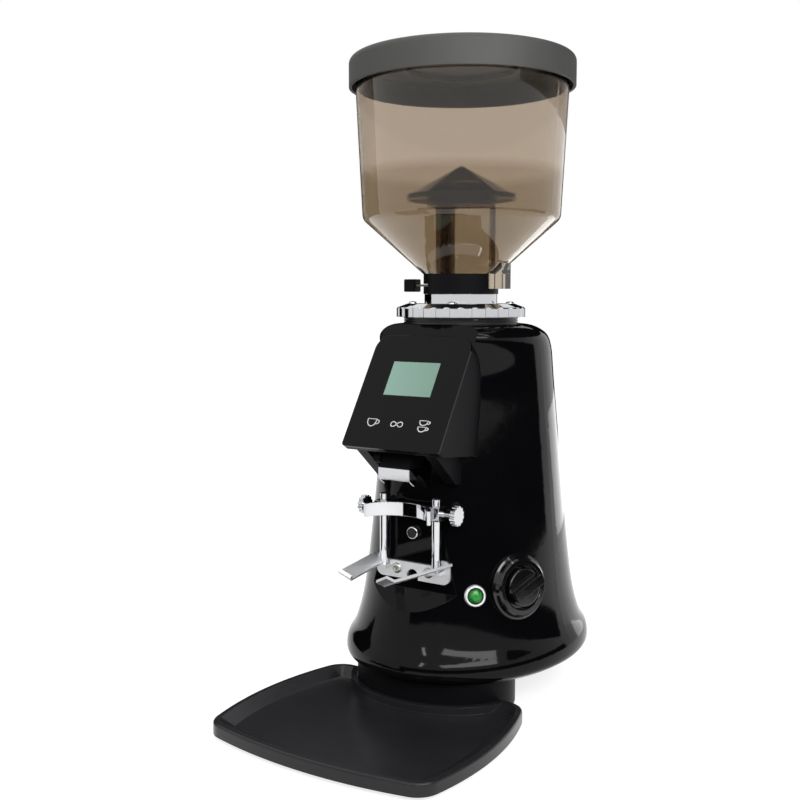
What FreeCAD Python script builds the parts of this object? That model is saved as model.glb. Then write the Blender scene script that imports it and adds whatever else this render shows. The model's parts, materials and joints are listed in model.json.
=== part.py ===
import FreeCAD, Part
import math
import os

# On-demand burr coffee grinder. Millimetres, +Z up, front towards -Y.
# The origin lies on the counter, under the axis that the burrs, the motor and the hopper share.

V = FreeCAD.Vector
X_AXIS = V(1, 0, 0)
Y_AXIS = V(0, 1, 0)
Z_AXIS = V(0, 0, 1)
SIDES = (-1, 1)
SQUARE = ((-1, -1), (1, -1), (1, 1), (-1, 1))
QUARTER_ARC = 4 * (math.sqrt(2) - 1) / 3  # handle length of a cubic quarter circle over its radius

# Fits
RUN = 0.05            # running fit of a shaft or thread in its hole, per side
SEAT = 0.1            # gap between pieces that are bolted or dropped together
SLIP = 0.3            # gap between pieces that move past each other

# Body: a bell with oval sections, set back from the burr axis
BODY_BOTTOM = 34.0
BODY_TOP = 355.0
BASE_HALF_WIDTH = 112.0
SHOULDER_HALF_WIDTH = 78.4
DEPTH_RATIO = 1.2     # half depth of the oval over its half width, at the shoulder
BASE_DEPTH_GAIN = 0.04
BODY_SET_BACK = 20.5
BODY_WALL = 4.0
LIP_HEIGHT = 18.0
LIP_SWELL = 4.0
LIP_TUCK = 10.0
FLARE = 12.0
FLARE_HEIGHT = 22.0
STRAIGHT_TOP = 56.0   # level stretch below the top of the body
NECK_BEND = 85.0      # stretch over which the oval draws forward to the neck
SHOULDER_ROUND = 17.0
SHOULDER_TOP_R = 58.0
FLANGE_WIDTH = 14.0   # inward flange at the foot of the body
FLANGE_HEIGHT = 6.0

# Front flat that carries the portafilter fork
FLAT_DEPTH = 14.0     # how deep it cuts into the bell at its foot
FLAT_LIFT = 78.0      # its foot above the bottom of the body
FLAT_HEIGHT = 138.0
FLAT_HALF_WIDTH = 60.0

# Underside
PAN_THICKNESS = 3.0
PEDESTAL_HALF_WIDTH = 80.0
PEDESTAL_HALF_DEPTH = 62.0
PEDESTAL_Y = -45.0
PEDESTAL_WALL = 5.0
PAD_THICKNESS = 3.0
LEG_R = 12.0
LEG_ANGLE = 52.0      # degrees round the oval from +X
FOOT_R = 14.0
FOOT_HEIGHT = 4.0
BASE_SCREW_R = 2.0
BASE_SCREW_COUNT = 6

# Grounds tray
TRAY_HALF_WIDTH = 121.0
TRAY_REACH = 210.0    # front of the tray ahead of the pedestal's middle
TRAY_TAIL = 13.0
TRAY_WIDEST = 105.0
TRAY_SIDE_BOW = 11.0  # how far the sides draw in at the front
TRAY_BACK_BOW = 19.0  # how far they draw in at the back
TRAY_FRONT_BOW = 14.0
TRAY_CORNER_R = 22.0
TRAY_ROUND = 2.0
TRAY_BOTTOM = 4.0
TRAY_TOP = 15.0
TRAY_FLOOR = 4.0
TRAY_EDGE = 6.0
TRAY_SLOPE = 12.0
TRAY_GAP = 0.6
TRAY_PAD_R = 8.0

# Neck, grinding chamber and burrs
NECK_R = 55.0
NECK_HEIGHT = 6.2
NECK_GROOVE = 1.4
THREAD_R = 44.0
CHAMBER_R = 46.0
CAVITY_R = 40.0
CHAMBER_FLANGE = 6.0
BURR_R = 32.0
BURR_BORE_R = 18.5
BURR_THICKNESS = 8.0
BURR_GAP = 0.6
BURR_DEPTH = 30.0     # middle of the gap between the burrs, below the top of the body
BURR_SCREW_R = 1.75
BURR_SCREW_PITCH_R = 25.5
BURR_SCREW_HEAD = 2.4
BURR_SCREW_COUNT = 3
BURR_SCREW_TURN = 30.0  # degrees from +X to the first screw of each burr
BURR_TEETH = 24
BURR_TOOTH = 1.6
BURR_SLANT = 20.0     # degrees between a cutting groove and the radius
LOWER_CARRIER_R = 37.0
LOWER_CARRIER_T = 10.0
CARRIER_CLEARANCE = 2.0
CHAMBER_FLOOR = 6.0
CHAMBER_SKIRT = 14.7
THREAD_LIFT = 2.7      # step of the chamber above the upper burr
CHAMBER_SCREW_R = 2.0
CHAMBER_SCREW_PITCH_R = 50.3
OUTLET_HALF_WIDTH = 13.0
OUTLET_HEIGHT = 18.0

# Adjusting ring and hopper seat
RING_R = 62.0
RING_T = 9.5
RING_RISE = 3.5       # how much higher the ring's inner edge stands than its rim
RING_SCALLOPS = 30
RING_SCALLOP_R = 4.0
RING_SCALLOP_DEPTH = 1.5
RING_FLANGE_R = 52.0
RING_FLANGE_T = 3.0
RING_SCREW_R = 2.0
RING_SCREW_PITCH_R = 47.5
RING_SCREW_COUNT = 4
RING_SCREW_TURN = 20.0  # degrees from +X to the first screw of the ring
SEAT_R = 35.0
SEAT_WALL = 3.0
SEAT_HEIGHT = 18.5

# Hopper
HOPPER_NECK_R = 36.0
HOPPER_NECK_HEIGHT = 19.0
THROAT_R = 28.0
SPIGOT_DEPTH = 8.0
BOWL_RIM_R = 101.8
BOWL_CORNER_R = 94.4
BOWL_CONE_HEIGHT = 52.0
BOWL_CORNER_ROUND = 10.0
BOWL_WALL_HEIGHT = 144.0
BOWL_WALL = 2.5
POCKET_LENGTH = 13.0
POCKET_HALF_WIDTH = 9.0
POCKET_LIFT = 5.0
POCKET_HEIGHT = 24.0
GUARD_LEG_HEIGHT = 75.0
GUARD_ROOF_HEIGHT = 28.0
GUARD_EAVES_R = 52.0
GUARD_WALL = 2.5
GUARD_LIP = 5.0
GUARD_LEG_R = 33.0
GUARD_LEG_T = 4.0
GUARD_LEGS = 3
GUARD_LEG_ANGLE = 28.0
GUARD_LEG_FIRST = 35.0  # degrees from +X to the middle of the first leg
LID_R = 107.0
LID_SKIRT = 21.4
LID_CROWN = 5.5
LID_DOME = 2.0
LID_EDGE = 6.0
LID_WALL = 3.0
LID_RIB_R = 56.0
LID_RIB_HEIGHT = 5.0
GATE_LIFT = 8.5
GATE_T = 2.0
GATE_R = 32.0
GATE_STEM_HALF_WIDTH = 4.0
GATE_STEM_REACH = 13.0
GATE_KNOB_LENGTH = 13.0
GATE_KNOB_WIDTH = 12.0
GATE_KNOB_HEIGHT = 12.5

# Control panel on the front of the body
PANEL_WIDTH = 102.6
PANEL_LENGTH = 116.0
PANEL_TILT = 32.6     # degrees from vertical
PANEL_DROP = 108.0    # foot of the panel below the top of the body
PANEL_REACH = 46.0    # foot of the panel ahead of the body there
PANEL_CORNER_R = 15.0
PANEL_FOOT_CORNER_R = 3.0
GLASS_T = 2.5
LCD_WIDTH = 49.8
LCD_HEIGHT = 34.6
LCD_FOOT = 53.6
LCD_RIM = 2.0         # edge of the display hidden behind the glass
HOUSING_WALL = 3.0
HOUSING_DEPTH = 80.0
HOUSING_FALL = 11.5
HOUSING_EDGE = 3.5    # height of the housing's edge under the glass
BOARD_T = 1.6
BOARD_MARGIN = 12.0
BOARD_GAP = 4.0
PANEL_SCREW_R = 1.5
CHIN_HALF_WIDTH = 42.0
CHIN_DROP = 34.5
CHIN_SET_BACK = 8.0
CHIN_TIP = 47.0
CHIN_BACK = 62.0
CHIN_CHANNEL = 31.0

# Spout
CHUTE_TOP_DROP = 10.0  # upper end of the chute below the burrs
CHUTE_END_SET_BACK = 18.5
CHUTE_END_DROP = 18.0
CHUTE_HALF_WIDTH = 15.5
CHUTE_DEPTH = 16.0
CHUTE_WALL = 2.0
NOSE_HALF_WIDTH = 16.5
NOSE_FRONT_HEIGHT = 10.0
NOSE_DROP = 6.0
NOSE_DEPTH = 17.0
NOSE_WALL = 1.5
SPOUT_SCREW_LIFT = 7.0
SPOUT_SCREW_R = 2.0
SPOUT_SCREW_HEAD_R = 5.0
SPOUT_SCREW_HEAD = 7.0

# Portafilter fork, rods, rest bracket and start button
FORK_HALF_WIDTH = 39.5
FORK_LIFT = 9.0
FORK_HEIGHT = 22.0
FORK_WAIST = 16.0     # height of the plate between its ears
FORK_EAR = 9.0
FORK_NOTCH_R = 6.0
FORK_NOTCH_LIFT = 4.0
FORK_T = 3.0
FORK_CORNER_R = 7.0
FORK_SCREW_X = 17.0
FORK_SCREW_LIFT = 9.0
FORK_SCREW_R = 2.5
PRONG_LENGTH = 76.0
PRONG_WIDTH = 14.0
PRONG_T = 2.5
PRONG_TILT = 26.0
PRONG_TOE_IN = 10.0
PRONG_CURL = 9.0
PRONG_CURL_ANGLE = 35.0
PRONG_LIFT = 17.0
ROD_X = 28.2
ROD_GAP = 1.2
ROD_R = 3.8
ROD_LENGTH = 66.0
TAB_LIFT = 13.0
TAB_T = 3.0
BRACKET_R = 38.0
BRACKET_T = 3.0
BRACKET_GAP = 5.0     # room behind the bracket for the start button
BRACKET_LIFT = 60.0
BRACKET_HEIGHT = 12.5
BRACKET_SWEEP = 140.0
LUG_HALF = 6.5
THUMB_R = 2.5
THUMB_LENGTH = 13.0
THUMB_HEAD_R = 9.0
THUMB_HEAD = 5.0
THUMB_FLUTES = 12
THUMB_FLUTE_SHARE = 8  # radius of the head over that of a flute
BUTTON_R = 6.0
BUTTON_LIFT = 44.0
BUTTON_PROUD = 4.0
BUTTON_TRAVEL = 3.0
BUTTON_FLANGE = 1.5
MICROSWITCH_SIZE = 12.0
STRAP_T = 2.0

# Lamp, power switch and cable gland on the flank and back of the body
LAMP_ANGLE = -52.5    # degrees round the oval from +X
LAMP_LIFT = 78.0
LAMP_R = 10.0
LAMP_LENS_R = 7.5
LAMP_BARREL_R = 6.0
LAMP_DEPTH = 16.0
LAMP_RIM = 3.0
LAMP_FLOOR = 1.0
LAMP_LENS_TOP = 5.5
KNOB_ANGLE = -29.0
KNOB_LIFT = 82.0
KNOB_FLANGE_R = 30.0
KNOB_BEZEL_R = 26.5
KNOB_BEZEL_BORE_R = 20.0
KNOB_BEZEL_HEIGHT = 7.0
KNOB_BEZEL_EDGE = 1.5
KNOB_FLOOR = 2.0
KNOB_R = 17.5
KNOB_HEIGHT = 15.0
KNOB_GRIP = 9.0
SWITCH_BODY_R = 15.0
SWITCH_DEPTH = 22.0
SWITCH_BUSH_R = 5.0
SWITCH_STEM_R = 3.0
SWITCH_STAND_OFF = 2.5
GLAND_LIFT = 56.0
GLAND_R = 12.0
GLAND_THREAD_R = 8.0
GLAND_BORE_R = 4.5
GLAND_LENGTH = 12.0
BOSS_PROUD = 1.0

# Motor
MOTOR_PLATE_R = 60.0
MOTOR_PLATE_T = 6.0
MOTOR_LENGTH = 138.0
MOTOR_BOSS_R = 20.0
MOTOR_BOSS_DEPTH = 15.0
BEARING_R = 14.0
BEARING_T = 9.0
BEARING_COVER = 2.0   # metal left over each bearing
SHAFT_R = 6.0
STATOR_R = 51.5
STATOR_HEIGHT = 60.0
ROTOR_R = 24.0
AIR_GAP = 0.6
WINDING_R = 45.0
WINDING_BORE_R = 29.0
WINDING_HEIGHT = 17.0
TIE_BOLT_R = 2.5
TIE_BOLT_PITCH_R = 54.5
FAN_R = 47.0
FAN_T = 13.0
FAN_HUB_R = 12.0
FAN_BLADES = 9
FAN_BLADE_T = 2.0
SHAFT_TAIL = 20.0
NUT_R = 10.0
NUT_T = 6.0

# Electrics on the base pan
CAPACITOR_R = 17.5
CAPACITOR_HEIGHT = 62.0
TRANSFORMER_HEIGHT = 28.0
CONTROL_BOARD_SIZE = (58.0, 72.0)
CONTROL_BOARD_CLEARANCE = 1.0
CONTROL_BOARD_Y = 46.0
STANDOFF_R = 3.5
STANDOFF_HEIGHT = 8.0

# Heights that follow from the sizes above
LIP_Z = BODY_BOTTOM + LIP_HEIGHT
LEVEL_Z = BODY_TOP - STRAIGHT_TOP
SHOULDER_Z = BODY_TOP - SHOULDER_ROUND
PAN_TOP = BODY_BOTTOM + PAN_THICKNESS
FLANGE_TOP = PAN_TOP + SEAT + FLANGE_HEIGHT
CEILING = BODY_TOP - BODY_WALL
NECK_TOP = BODY_TOP + NECK_HEIGHT
RING_FLANGE_Z = NECK_TOP + SLIP
RING_Z = RING_FLANGE_Z + RING_FLANGE_T
SEAT_TOP = RING_Z + SEAT_HEIGHT
HOPPER_NECK_TOP = SEAT_TOP + HOPPER_NECK_HEIGHT
GATE_Z = SEAT_TOP + GATE_LIFT
BOWL_CORNER_Z = HOPPER_NECK_TOP + BOWL_CONE_HEIGHT
BOWL_TOP = BOWL_CORNER_Z + BOWL_WALL_HEIGHT
GUARD_EAVES_Z = HOPPER_NECK_TOP + GUARD_LEG_HEIGHT
LID_CEILING = BOWL_TOP + SLIP
LID_BOTTOM = BOWL_TOP - LID_SKIRT
LID_TOP = LID_CEILING + LID_CROWN
BURR_Z = BODY_TOP - BURR_DEPTH
UPPER_BURR_BOTTOM = BURR_Z + BURR_GAP / 2
UPPER_BURR_TOP = UPPER_BURR_BOTTOM + BURR_THICKNESS
LOWER_BURR_TOP = BURR_Z - BURR_GAP / 2
LOWER_BURR_BOTTOM = LOWER_BURR_TOP - BURR_THICKNESS
LOWER_CARRIER_BOTTOM = LOWER_BURR_BOTTOM - LOWER_CARRIER_T
CHAMBER_FLOOR_TOP = LOWER_CARRIER_BOTTOM - CARRIER_CLEARANCE
CHAMBER_FLOOR_BOTTOM = CHAMBER_FLOOR_TOP - CHAMBER_FLOOR
THREAD_BOTTOM = UPPER_BURR_TOP + THREAD_LIFT
CHAMBER_FLANGE_R = CHAMBER_SCREW_PITCH_R + 2 * CHAMBER_SCREW_R
MOTOR_TOP = CHAMBER_FLOOR_BOTTOM - CHAMBER_SKIRT
MOTOR_BOTTOM = MOTOR_TOP - MOTOR_LENGTH
STATOR_TOP = (MOTOR_TOP + MOTOR_BOTTOM + STATOR_HEIGHT) / 2
STATOR_BOTTOM = STATOR_TOP - STATOR_HEIGHT
UPPER_BEARING_TOP = MOTOR_TOP - BEARING_COVER
LOWER_BEARING_BOTTOM = MOTOR_BOTTOM + BEARING_COVER
FLAT_BOTTOM = BODY_BOTTOM + FLAT_LIFT
FORK_BOTTOM = FLAT_BOTTOM + FORK_LIFT
FORK_SCREW_Z = FORK_BOTTOM + FORK_SCREW_LIFT
TAB_TOP = FORK_BOTTOM + TAB_LIFT
ROD_TOP = TAB_TOP + ROD_LENGTH
BRACKET_BOTTOM = FORK_BOTTOM + BRACKET_LIFT
BRACKET_TOP = BRACKET_BOTTOM + BRACKET_HEIGHT
THUMB_Z = (BRACKET_BOTTOM + BRACKET_TOP) / 2
BUTTON_Z = FORK_BOTTOM + BUTTON_LIFT
PANEL_FOOT_Z = BODY_TOP - PANEL_DROP
CHUTE_END_Z = PANEL_FOOT_Z - CHUTE_END_DROP
NOSE_TOP = CHUTE_END_Z - SEAT
BOARD_FRONT = -GLASS_T - SEAT - HOUSING_WALL - BOARD_GAP  # behind the panel's face
BOARD_BACK = BOARD_FRONT - BOARD_T
UP_SLOPE = V(0, math.sin(math.radians(PANEL_TILT)), math.cos(math.radians(PANEL_TILT)))
PANEL_OUT = V(0, -UP_SLOPE.z, UP_SLOPE.y)


def cylinder(radius, bottom, top, x=0.0, y=0.0):
    return Part.makeCylinder(radius, top - bottom, V(x, y, bottom))


def tube(outer, inner, bottom, top, x=0.0, y=0.0):
    return cylinder(outer, bottom, top, x, y).cut(cylinder(inner, bottom - 1, top + 1, x, y))


def block(x0, x1, y0, y1, z0, z1):
    return Part.makeBox(x1 - x0, y1 - y0, z1 - z0, V(x0, y0, z0))


def polygon_face(points):
    return Part.Face(Part.makePolygon(points + points[:1]))


def revolve(outline):
    """Solid of revolution about the burr axis; the outline is a list of (radius, height)."""
    face = polygon_face([V(r, 0, z) for r, z in outline])
    return face.revolve(V(0, 0, 0), Z_AXIS, 360)


def extrude_across(outline, x0, x1):
    """Prism along X; the outline is a list of (y, z)."""
    face = polygon_face([V(x0, y, z) for y, z in outline])
    return face.extrude(V(x1 - x0, 0, 0))


def around(count, radius, first=0.0):
    """Points at even angles on a circle about the burr axis."""
    angles = [math.radians(first + 360.0 * i / count) for i in range(count)]
    return [(radius * math.cos(a), radius * math.sin(a)) for a in angles]


def drill(shape, places, radius, bottom, top):
    for x, y in places:
        shape = shape.cut(cylinder(radius, bottom, top, x, y))
    return shape


def along(shape, origin, direction):
    """Stand a shape that was made along +Z on origin, pointing along direction."""
    turned = shape.copy()
    turned.Placement = FreeCAD.Placement(origin, FreeCAD.Rotation(Z_AXIS, direction))
    return turned


def oval_wire(half_width, half_depth, centre, z):
    """Ellipse about the middle plane, as four cubic quarter arcs."""
    sides = [V(half_width, 0, 0), V(0, half_depth, 0), V(-half_width, 0, 0), V(0, -half_depth, 0)]
    middle = V(0, centre, z)
    quarters = []
    for i in range(4):
        start = sides[i]
        end = sides[(i + 1) % 4]
        arc = Part.BezierCurve()
        arc.setPoles([middle + start, middle + start + end * QUARTER_ARC, middle + end + start * QUARTER_ARC,
                      middle + end])
        quarters.append(arc.toShape())
    return Part.Wire(quarters)


def oval_prism(half_width, half_depth, centre, bottom, top):
    face = Part.Face(oval_wire(half_width, half_depth, centre, bottom))
    return face.extrude(V(0, 0, top - bottom))


def bell_oval(z):
    """Half width, half depth and centre of the body's oval at a height between lip and shoulder."""
    rise = max(0.0, (LEVEL_Z - z) / (LEVEL_Z - LIP_Z))
    straight = SHOULDER_HALF_WIDTH + (BASE_HALF_WIDTH - FLARE - SHOULDER_HALF_WIDTH) * rise
    half_width = straight + FLARE * math.exp((LIP_Z - z) / FLARE_HEIGHT)
    half_depth = half_width * (DEPTH_RATIO + BASE_DEPTH_GAIN * rise)
    bend = max(0.0, (z - BODY_TOP + NECK_BEND) / NECK_BEND)
    return half_width, half_depth, BODY_SET_BACK * (1 - bend ** 3)


def bell_rows(inset, bottom):
    """Ovals from the foot to the top of the body, drawn in by inset: (half width, half depth, centre, z)."""
    rows = []
    low = (LIP_Z - bottom) / LIP_HEIGHT
    base_ratio = DEPTH_RATIO + BASE_DEPTH_GAIN
    for share in (1.0, 0.85, 0.6, 0.3):
        u = low * share
        half_width = BASE_HALF_WIDTH + LIP_SWELL * u - LIP_TUCK * u ** 4
        z = LIP_Z - u * LIP_HEIGHT
        rows.append((half_width - inset, half_width * base_ratio - inset, BODY_SET_BACK, z))
    for share in (0.0, 0.03, 0.07, 0.13, 0.22, 0.36, 0.55, 0.78, 0.92, 1.0):
        z = LIP_Z + share * (SHOULDER_Z - LIP_Z)
        half_width, half_depth, centre = bell_oval(z)
        rows.append((half_width - inset, half_depth - inset, centre, z))
    for angle in (18, 36, 54, 72, 90):
        lift = math.sin(math.radians(angle))
        spread = math.cos(math.radians(angle))
        half_width, half_depth, centre = bell_oval(SHOULDER_Z)
        z = SHOULDER_Z + (SHOULDER_ROUND - inset) * lift
        rows.append((SHOULDER_TOP_R + (half_width - inset - SHOULDER_TOP_R) * spread,
                     SHOULDER_TOP_R + (half_depth - inset - SHOULDER_TOP_R) * spread,
                     bell_oval(z)[2], z))
    return rows


def bell(inset, bottom):
    wires = [oval_wire(*row) for row in bell_rows(inset, bottom)]
    return Part.makeLoft(wires, True, False)


def wall_point(angle, z):
    """Point of the body's outer face at an angle round its oval, and the outward direction there."""
    def place(angle, z):
        half_width, half_depth, centre = bell_oval(z)
        return V(half_width * math.cos(angle), centre + half_depth * math.sin(angle), z)
    a = math.radians(angle)
    here = place(a, z)
    sideways = place(a + 0.01, z) - place(a - 0.01, z)
    upward = place(a, z + 1) - place(a, z - 1)
    out = sideways.cross(upward)
    out.normalize()
    return here, out


def body_front(z):
    """Y of the body's front at a height between lip and shoulder."""
    half_width, half_depth, centre = bell_oval(z)
    return centre - half_depth


WALL_PLACES = {
    "lamp": wall_point(LAMP_ANGLE, BODY_BOTTOM + LAMP_LIFT),
    "knob": wall_point(KNOB_ANGLE, BODY_BOTTOM + KNOB_LIFT),
    "gland": wall_point(90.0, BODY_BOTTOM + GLAND_LIFT),
}
FLAT_Y = body_front(FLAT_BOTTOM) + FLAT_DEPTH
ROD_Y = FLAT_Y - FORK_T - ROD_GAP - ROD_R
BRACKET_Y = FLAT_Y - BRACKET_GAP - BRACKET_R
PANEL_FOOT_Y = body_front(PANEL_FOOT_Z) - PANEL_REACH
PANEL_FOOT = V(0, PANEL_FOOT_Y, PANEL_FOOT_Z)
CHUTE_TOP = V(0, -CHAMBER_R - 1, BURR_Z - CHUTE_TOP_DROP)
CHUTE_END = V(0, PANEL_FOOT_Y + CHUTE_END_SET_BACK, CHUTE_END_Z)
SPOUT_SCREW_AT = CHUTE_END + V(0, -1, SPOUT_SCREW_LIFT)
TRAY_FRONT = PEDESTAL_Y - TRAY_REACH


def on_boss(shape, kind):
    """Stand a shape that was made along +Z on the face of one of the three bosses of the body."""
    at, out = WALL_PLACES[kind]
    return along(shape, at + out * BOSS_PROUD, out)


def standing(kind, radius, low, high):
    """Cylinder on one of the three bosses, from low to high above its face."""
    return on_boss(cylinder(radius, low, high), kind)


def front_scoop(shift):
    """Space in front of the fork's flat; shift moves its faces back, to leave a wall behind them."""
    reach = 60.0
    y = FLAT_Y + shift
    top = FLAT_BOTTOM + FLAT_HEIGHT
    outline = [(y, top), (y, FLAT_BOTTOM), (y - reach, FLAT_BOTTOM - reach), (y - reach, top)]
    half = FLAT_HALF_WIDTH + shift
    return extrude_across(outline, -half, half)


def on_panel(across, up, out):
    """Point given by its distance across the panel, up its slope and out of its face."""
    return PANEL_FOOT + X_AXIS * across + UP_SLOPE * up + PANEL_OUT * out


def panel_block(half_width, foot, head, back, front):
    """Box that lies along the panel, from back to front of its face."""
    middle = (foot + head) / 2
    half_length = (head - foot) / 2
    corners = [on_panel(half_width * a, middle + half_length * b, back) for a, b in SQUARE]
    return polygon_face(corners).extrude(PANEL_OUT * (front - back))


def chute_prism(grow, low, high):
    """Inclined rectangular bar of the chute, grown on its sides, from low to high along its slope."""
    run = CHUTE_END - CHUTE_TOP
    length = run.Length
    run.normalize()
    side = V(0, run.z, -run.y)
    half_width = CHUTE_HALF_WIDTH + grow
    half_depth = CHUTE_DEPTH / 2 + grow
    start = CHUTE_TOP + run * low
    corners = [start + X_AXIS * half_width * a + side * half_depth * b for a, b in SQUARE]
    return polygon_face(corners).extrude(run * (length - low + high))


def foot_oval(inset):
    """Half width, half depth and centre of the body's lowest oval, drawn in by inset."""
    half_width, half_depth, centre, z = bell_rows(0.0, BODY_BOTTOM)[0]
    return half_width - inset, half_depth - inset, centre


def flange_places():
    half_width, half_depth, centre = foot_oval(BODY_WALL + FLANGE_WIDTH / 2)
    angles = [2 * math.pi * (i + 0.5) / BASE_SCREW_COUNT for i in range(BASE_SCREW_COUNT)]
    return [(half_width * math.cos(a), centre + half_depth * math.sin(a)) for a in angles]


def leg_places():
    """Middles of the rear legs, just inside the flange at the foot of the body."""
    half_width, half_depth, centre = foot_oval(BODY_WALL + FLANGE_WIDTH + LEG_R)
    x = half_width * math.cos(math.radians(LEG_ANGLE))
    y = centre + half_depth * math.sin(math.radians(LEG_ANGLE))
    return [(-x, y), (x, y)]


def control_board_x():
    """X of the control board's middle, with its rear outer corner just inside the flange."""
    half_width, half_depth, centre = foot_oval(BODY_WALL + FLANGE_WIDTH)
    width, depth = CONTROL_BOARD_SIZE
    back = (CONTROL_BOARD_Y + depth / 2 - centre) / half_depth
    return width / 2 + CONTROL_BOARD_CLEARANCE - half_width * math.sqrt(1 - back * back)


CONTROL_BOARD_X = control_board_x()
CAPACITOR_Y = CONTROL_BOARD_Y + CONTROL_BOARD_SIZE[1] / 2 + CONTROL_BOARD_CLEARANCE + CAPACITOR_R
PAN_SCREWS = flange_places()
PEDESTAL_SCREWS = [(x * PEDESTAL_HALF_WIDTH / 2, PEDESTAL_Y + y * PEDESTAL_HALF_DEPTH / 3)
                   for x, y in SQUARE]
LEGS = leg_places()
CHAMBER_SCREWS = around(4, CHAMBER_SCREW_PITCH_R, 45)
RING_SCREWS = around(RING_SCREW_COUNT, RING_SCREW_PITCH_R, RING_SCREW_TURN)
BURR_SCREWS = around(BURR_SCREW_COUNT, BURR_SCREW_PITCH_R, BURR_SCREW_TURN)
TIE_BOLTS = around(4, TIE_BOLT_PITCH_R, 45)


def body_shell():
    shell = bell(0.0, BODY_BOTTOM)
    for kind, radius in (("lamp", LAMP_R), ("knob", KNOB_FLANGE_R), ("gland", GLAND_R)):
        shell = shell.fuse(standing(kind, radius, -2 * BODY_WALL, 0))
        shell = shell.cut(standing(kind, radius + SEAT, 0, 2 * BODY_WALL))
    cavity = bell(BODY_WALL, FLANGE_TOP).cut(front_scoop(BODY_WALL)).cut(panel_front(BODY_WALL))
    cavity = cavity.fuse(cylinder(CHAMBER_FLANGE_R + SEAT, MOTOR_TOP, CEILING))
    shell = shell.cut(cavity).cut(front_scoop(0.0))
    shell = shell.cut(oval_prism(*foot_oval(BODY_WALL), BODY_BOTTOM - 1, PAN_TOP + SEAT))
    shell = shell.cut(oval_prism(*foot_oval(BODY_WALL + FLANGE_WIDTH), BODY_BOTTOM, FLANGE_TOP + 1))
    shell = drill(shell, PAN_SCREWS, BASE_SCREW_R + SEAT, BODY_BOTTOM, FLANGE_TOP + 1)
    shell = shell.cut(cylinder(CHAMBER_R, CEILING - 1, BODY_TOP + 1))
    shell = drill(shell, CHAMBER_SCREWS, CHAMBER_SCREW_R + SEAT, CEILING - 1, BODY_TOP + 1)
    shell = shell.cut(panel_front(0.0)).cut(housing_block(-SEAT))
    for x, z in [(side * FORK_SCREW_X, FORK_SCREW_Z) for side in SIDES]:
        shell = shell.cut(across_flat(FORK_SCREW_R + SEAT, x, z, -1, BODY_WALL + 1))
    shell = shell.cut(across_flat(BUTTON_R + RUN, 0, BUTTON_Z, -1, BODY_WALL + 1))
    shell = shell.cut(standing("lamp", LAMP_BARREL_R + SEAT, -3 * BODY_WALL, 1))
    shell = shell.cut(standing("knob", SWITCH_BUSH_R + SEAT, -3 * BODY_WALL, 1))
    return shell.cut(standing("gland", GLAND_THREAD_R + SEAT, -3 * BODY_WALL, 1))


def across_flat(radius, x, z, front, back):
    """Cylinder along +Y through the fork's flat, from front to back behind its face."""
    return Part.makeCylinder(radius, back - front, V(x, FLAT_Y + front, z), Y_AXIS)


def base_pan():
    pan = oval_prism(*foot_oval(BODY_WALL + SEAT), BODY_BOTTOM, PAN_TOP)
    pan = drill(pan, PAN_SCREWS, BASE_SCREW_R + SEAT, BODY_BOTTOM - 1, PAN_TOP + 1)
    return drill(pan, PEDESTAL_SCREWS + LEGS, BASE_SCREW_R + SEAT, BODY_BOTTOM - 1, PAN_TOP + 1)


def pedestal():
    foot = oval_prism(PEDESTAL_HALF_WIDTH, PEDESTAL_HALF_DEPTH, PEDESTAL_Y, PAD_THICKNESS, BODY_BOTTOM)
    hollow = oval_prism(PEDESTAL_HALF_WIDTH - PEDESTAL_WALL, PEDESTAL_HALF_DEPTH - PEDESTAL_WALL,
                        PEDESTAL_Y, PAD_THICKNESS - 1, BODY_BOTTOM - PEDESTAL_WALL)
    foot = drill(foot.cut(hollow), PEDESTAL_SCREWS, BASE_SCREW_R + SEAT, PAD_THICKNESS, BODY_BOTTOM + 1)
    pocket = BODY_BOTTOM - BASE_SCREW_R - SLIP
    return drill(foot, PAN_SCREWS, 2 * BASE_SCREW_R + SLIP, pocket, BODY_BOTTOM + 1)


def rear_legs():
    legs = [cylinder(LEG_R, FOOT_HEIGHT, BODY_BOTTOM, x, y) for x, y in LEGS]
    bore = BODY_BOTTOM - 2 * PEDESTAL_WALL - SEAT
    return Part.makeCompound([drill(leg, LEGS, BASE_SCREW_R + SEAT, bore, BODY_BOTTOM + 1) for leg in legs])


def rubber_feet():
    """A pad under the pedestal and a foot under each rear leg; all stand on the counter."""
    pad = oval_prism(PEDESTAL_HALF_WIDTH - 1, PEDESTAL_HALF_DEPTH - 1, PEDESTAL_Y, 0.0, PAD_THICKNESS)
    return Part.makeCompound([pad] + [cylinder(FOOT_R, 0.0, FOOT_HEIGHT, x, y) for x, y in LEGS])


def screw(radius, head_r, head, top, tip, x, y):
    """Pan-head screw pointing down: its head sits on top and its shank ends at tip."""
    return cylinder(head_r, top, top + head, x, y).fuse(cylinder(radius, tip, top + head / 2, x, y))


def base_screws():
    head_r = 2 * BASE_SCREW_R
    up = [screw(BASE_SCREW_R, head_r, BASE_SCREW_R, -BODY_BOTTOM, -FLANGE_TOP, x, -y)
          for x, y in PAN_SCREWS]
    up = [piece.rotated(V(0, 0, 0), X_AXIS, 180) for piece in up]
    down = [screw(BASE_SCREW_R, head_r, BASE_SCREW_R, PAN_TOP, BODY_BOTTOM - 2 * PEDESTAL_WALL, x, y)
            for x, y in PEDESTAL_SCREWS + LEGS]
    return Part.makeCompound(up + down)


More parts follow.
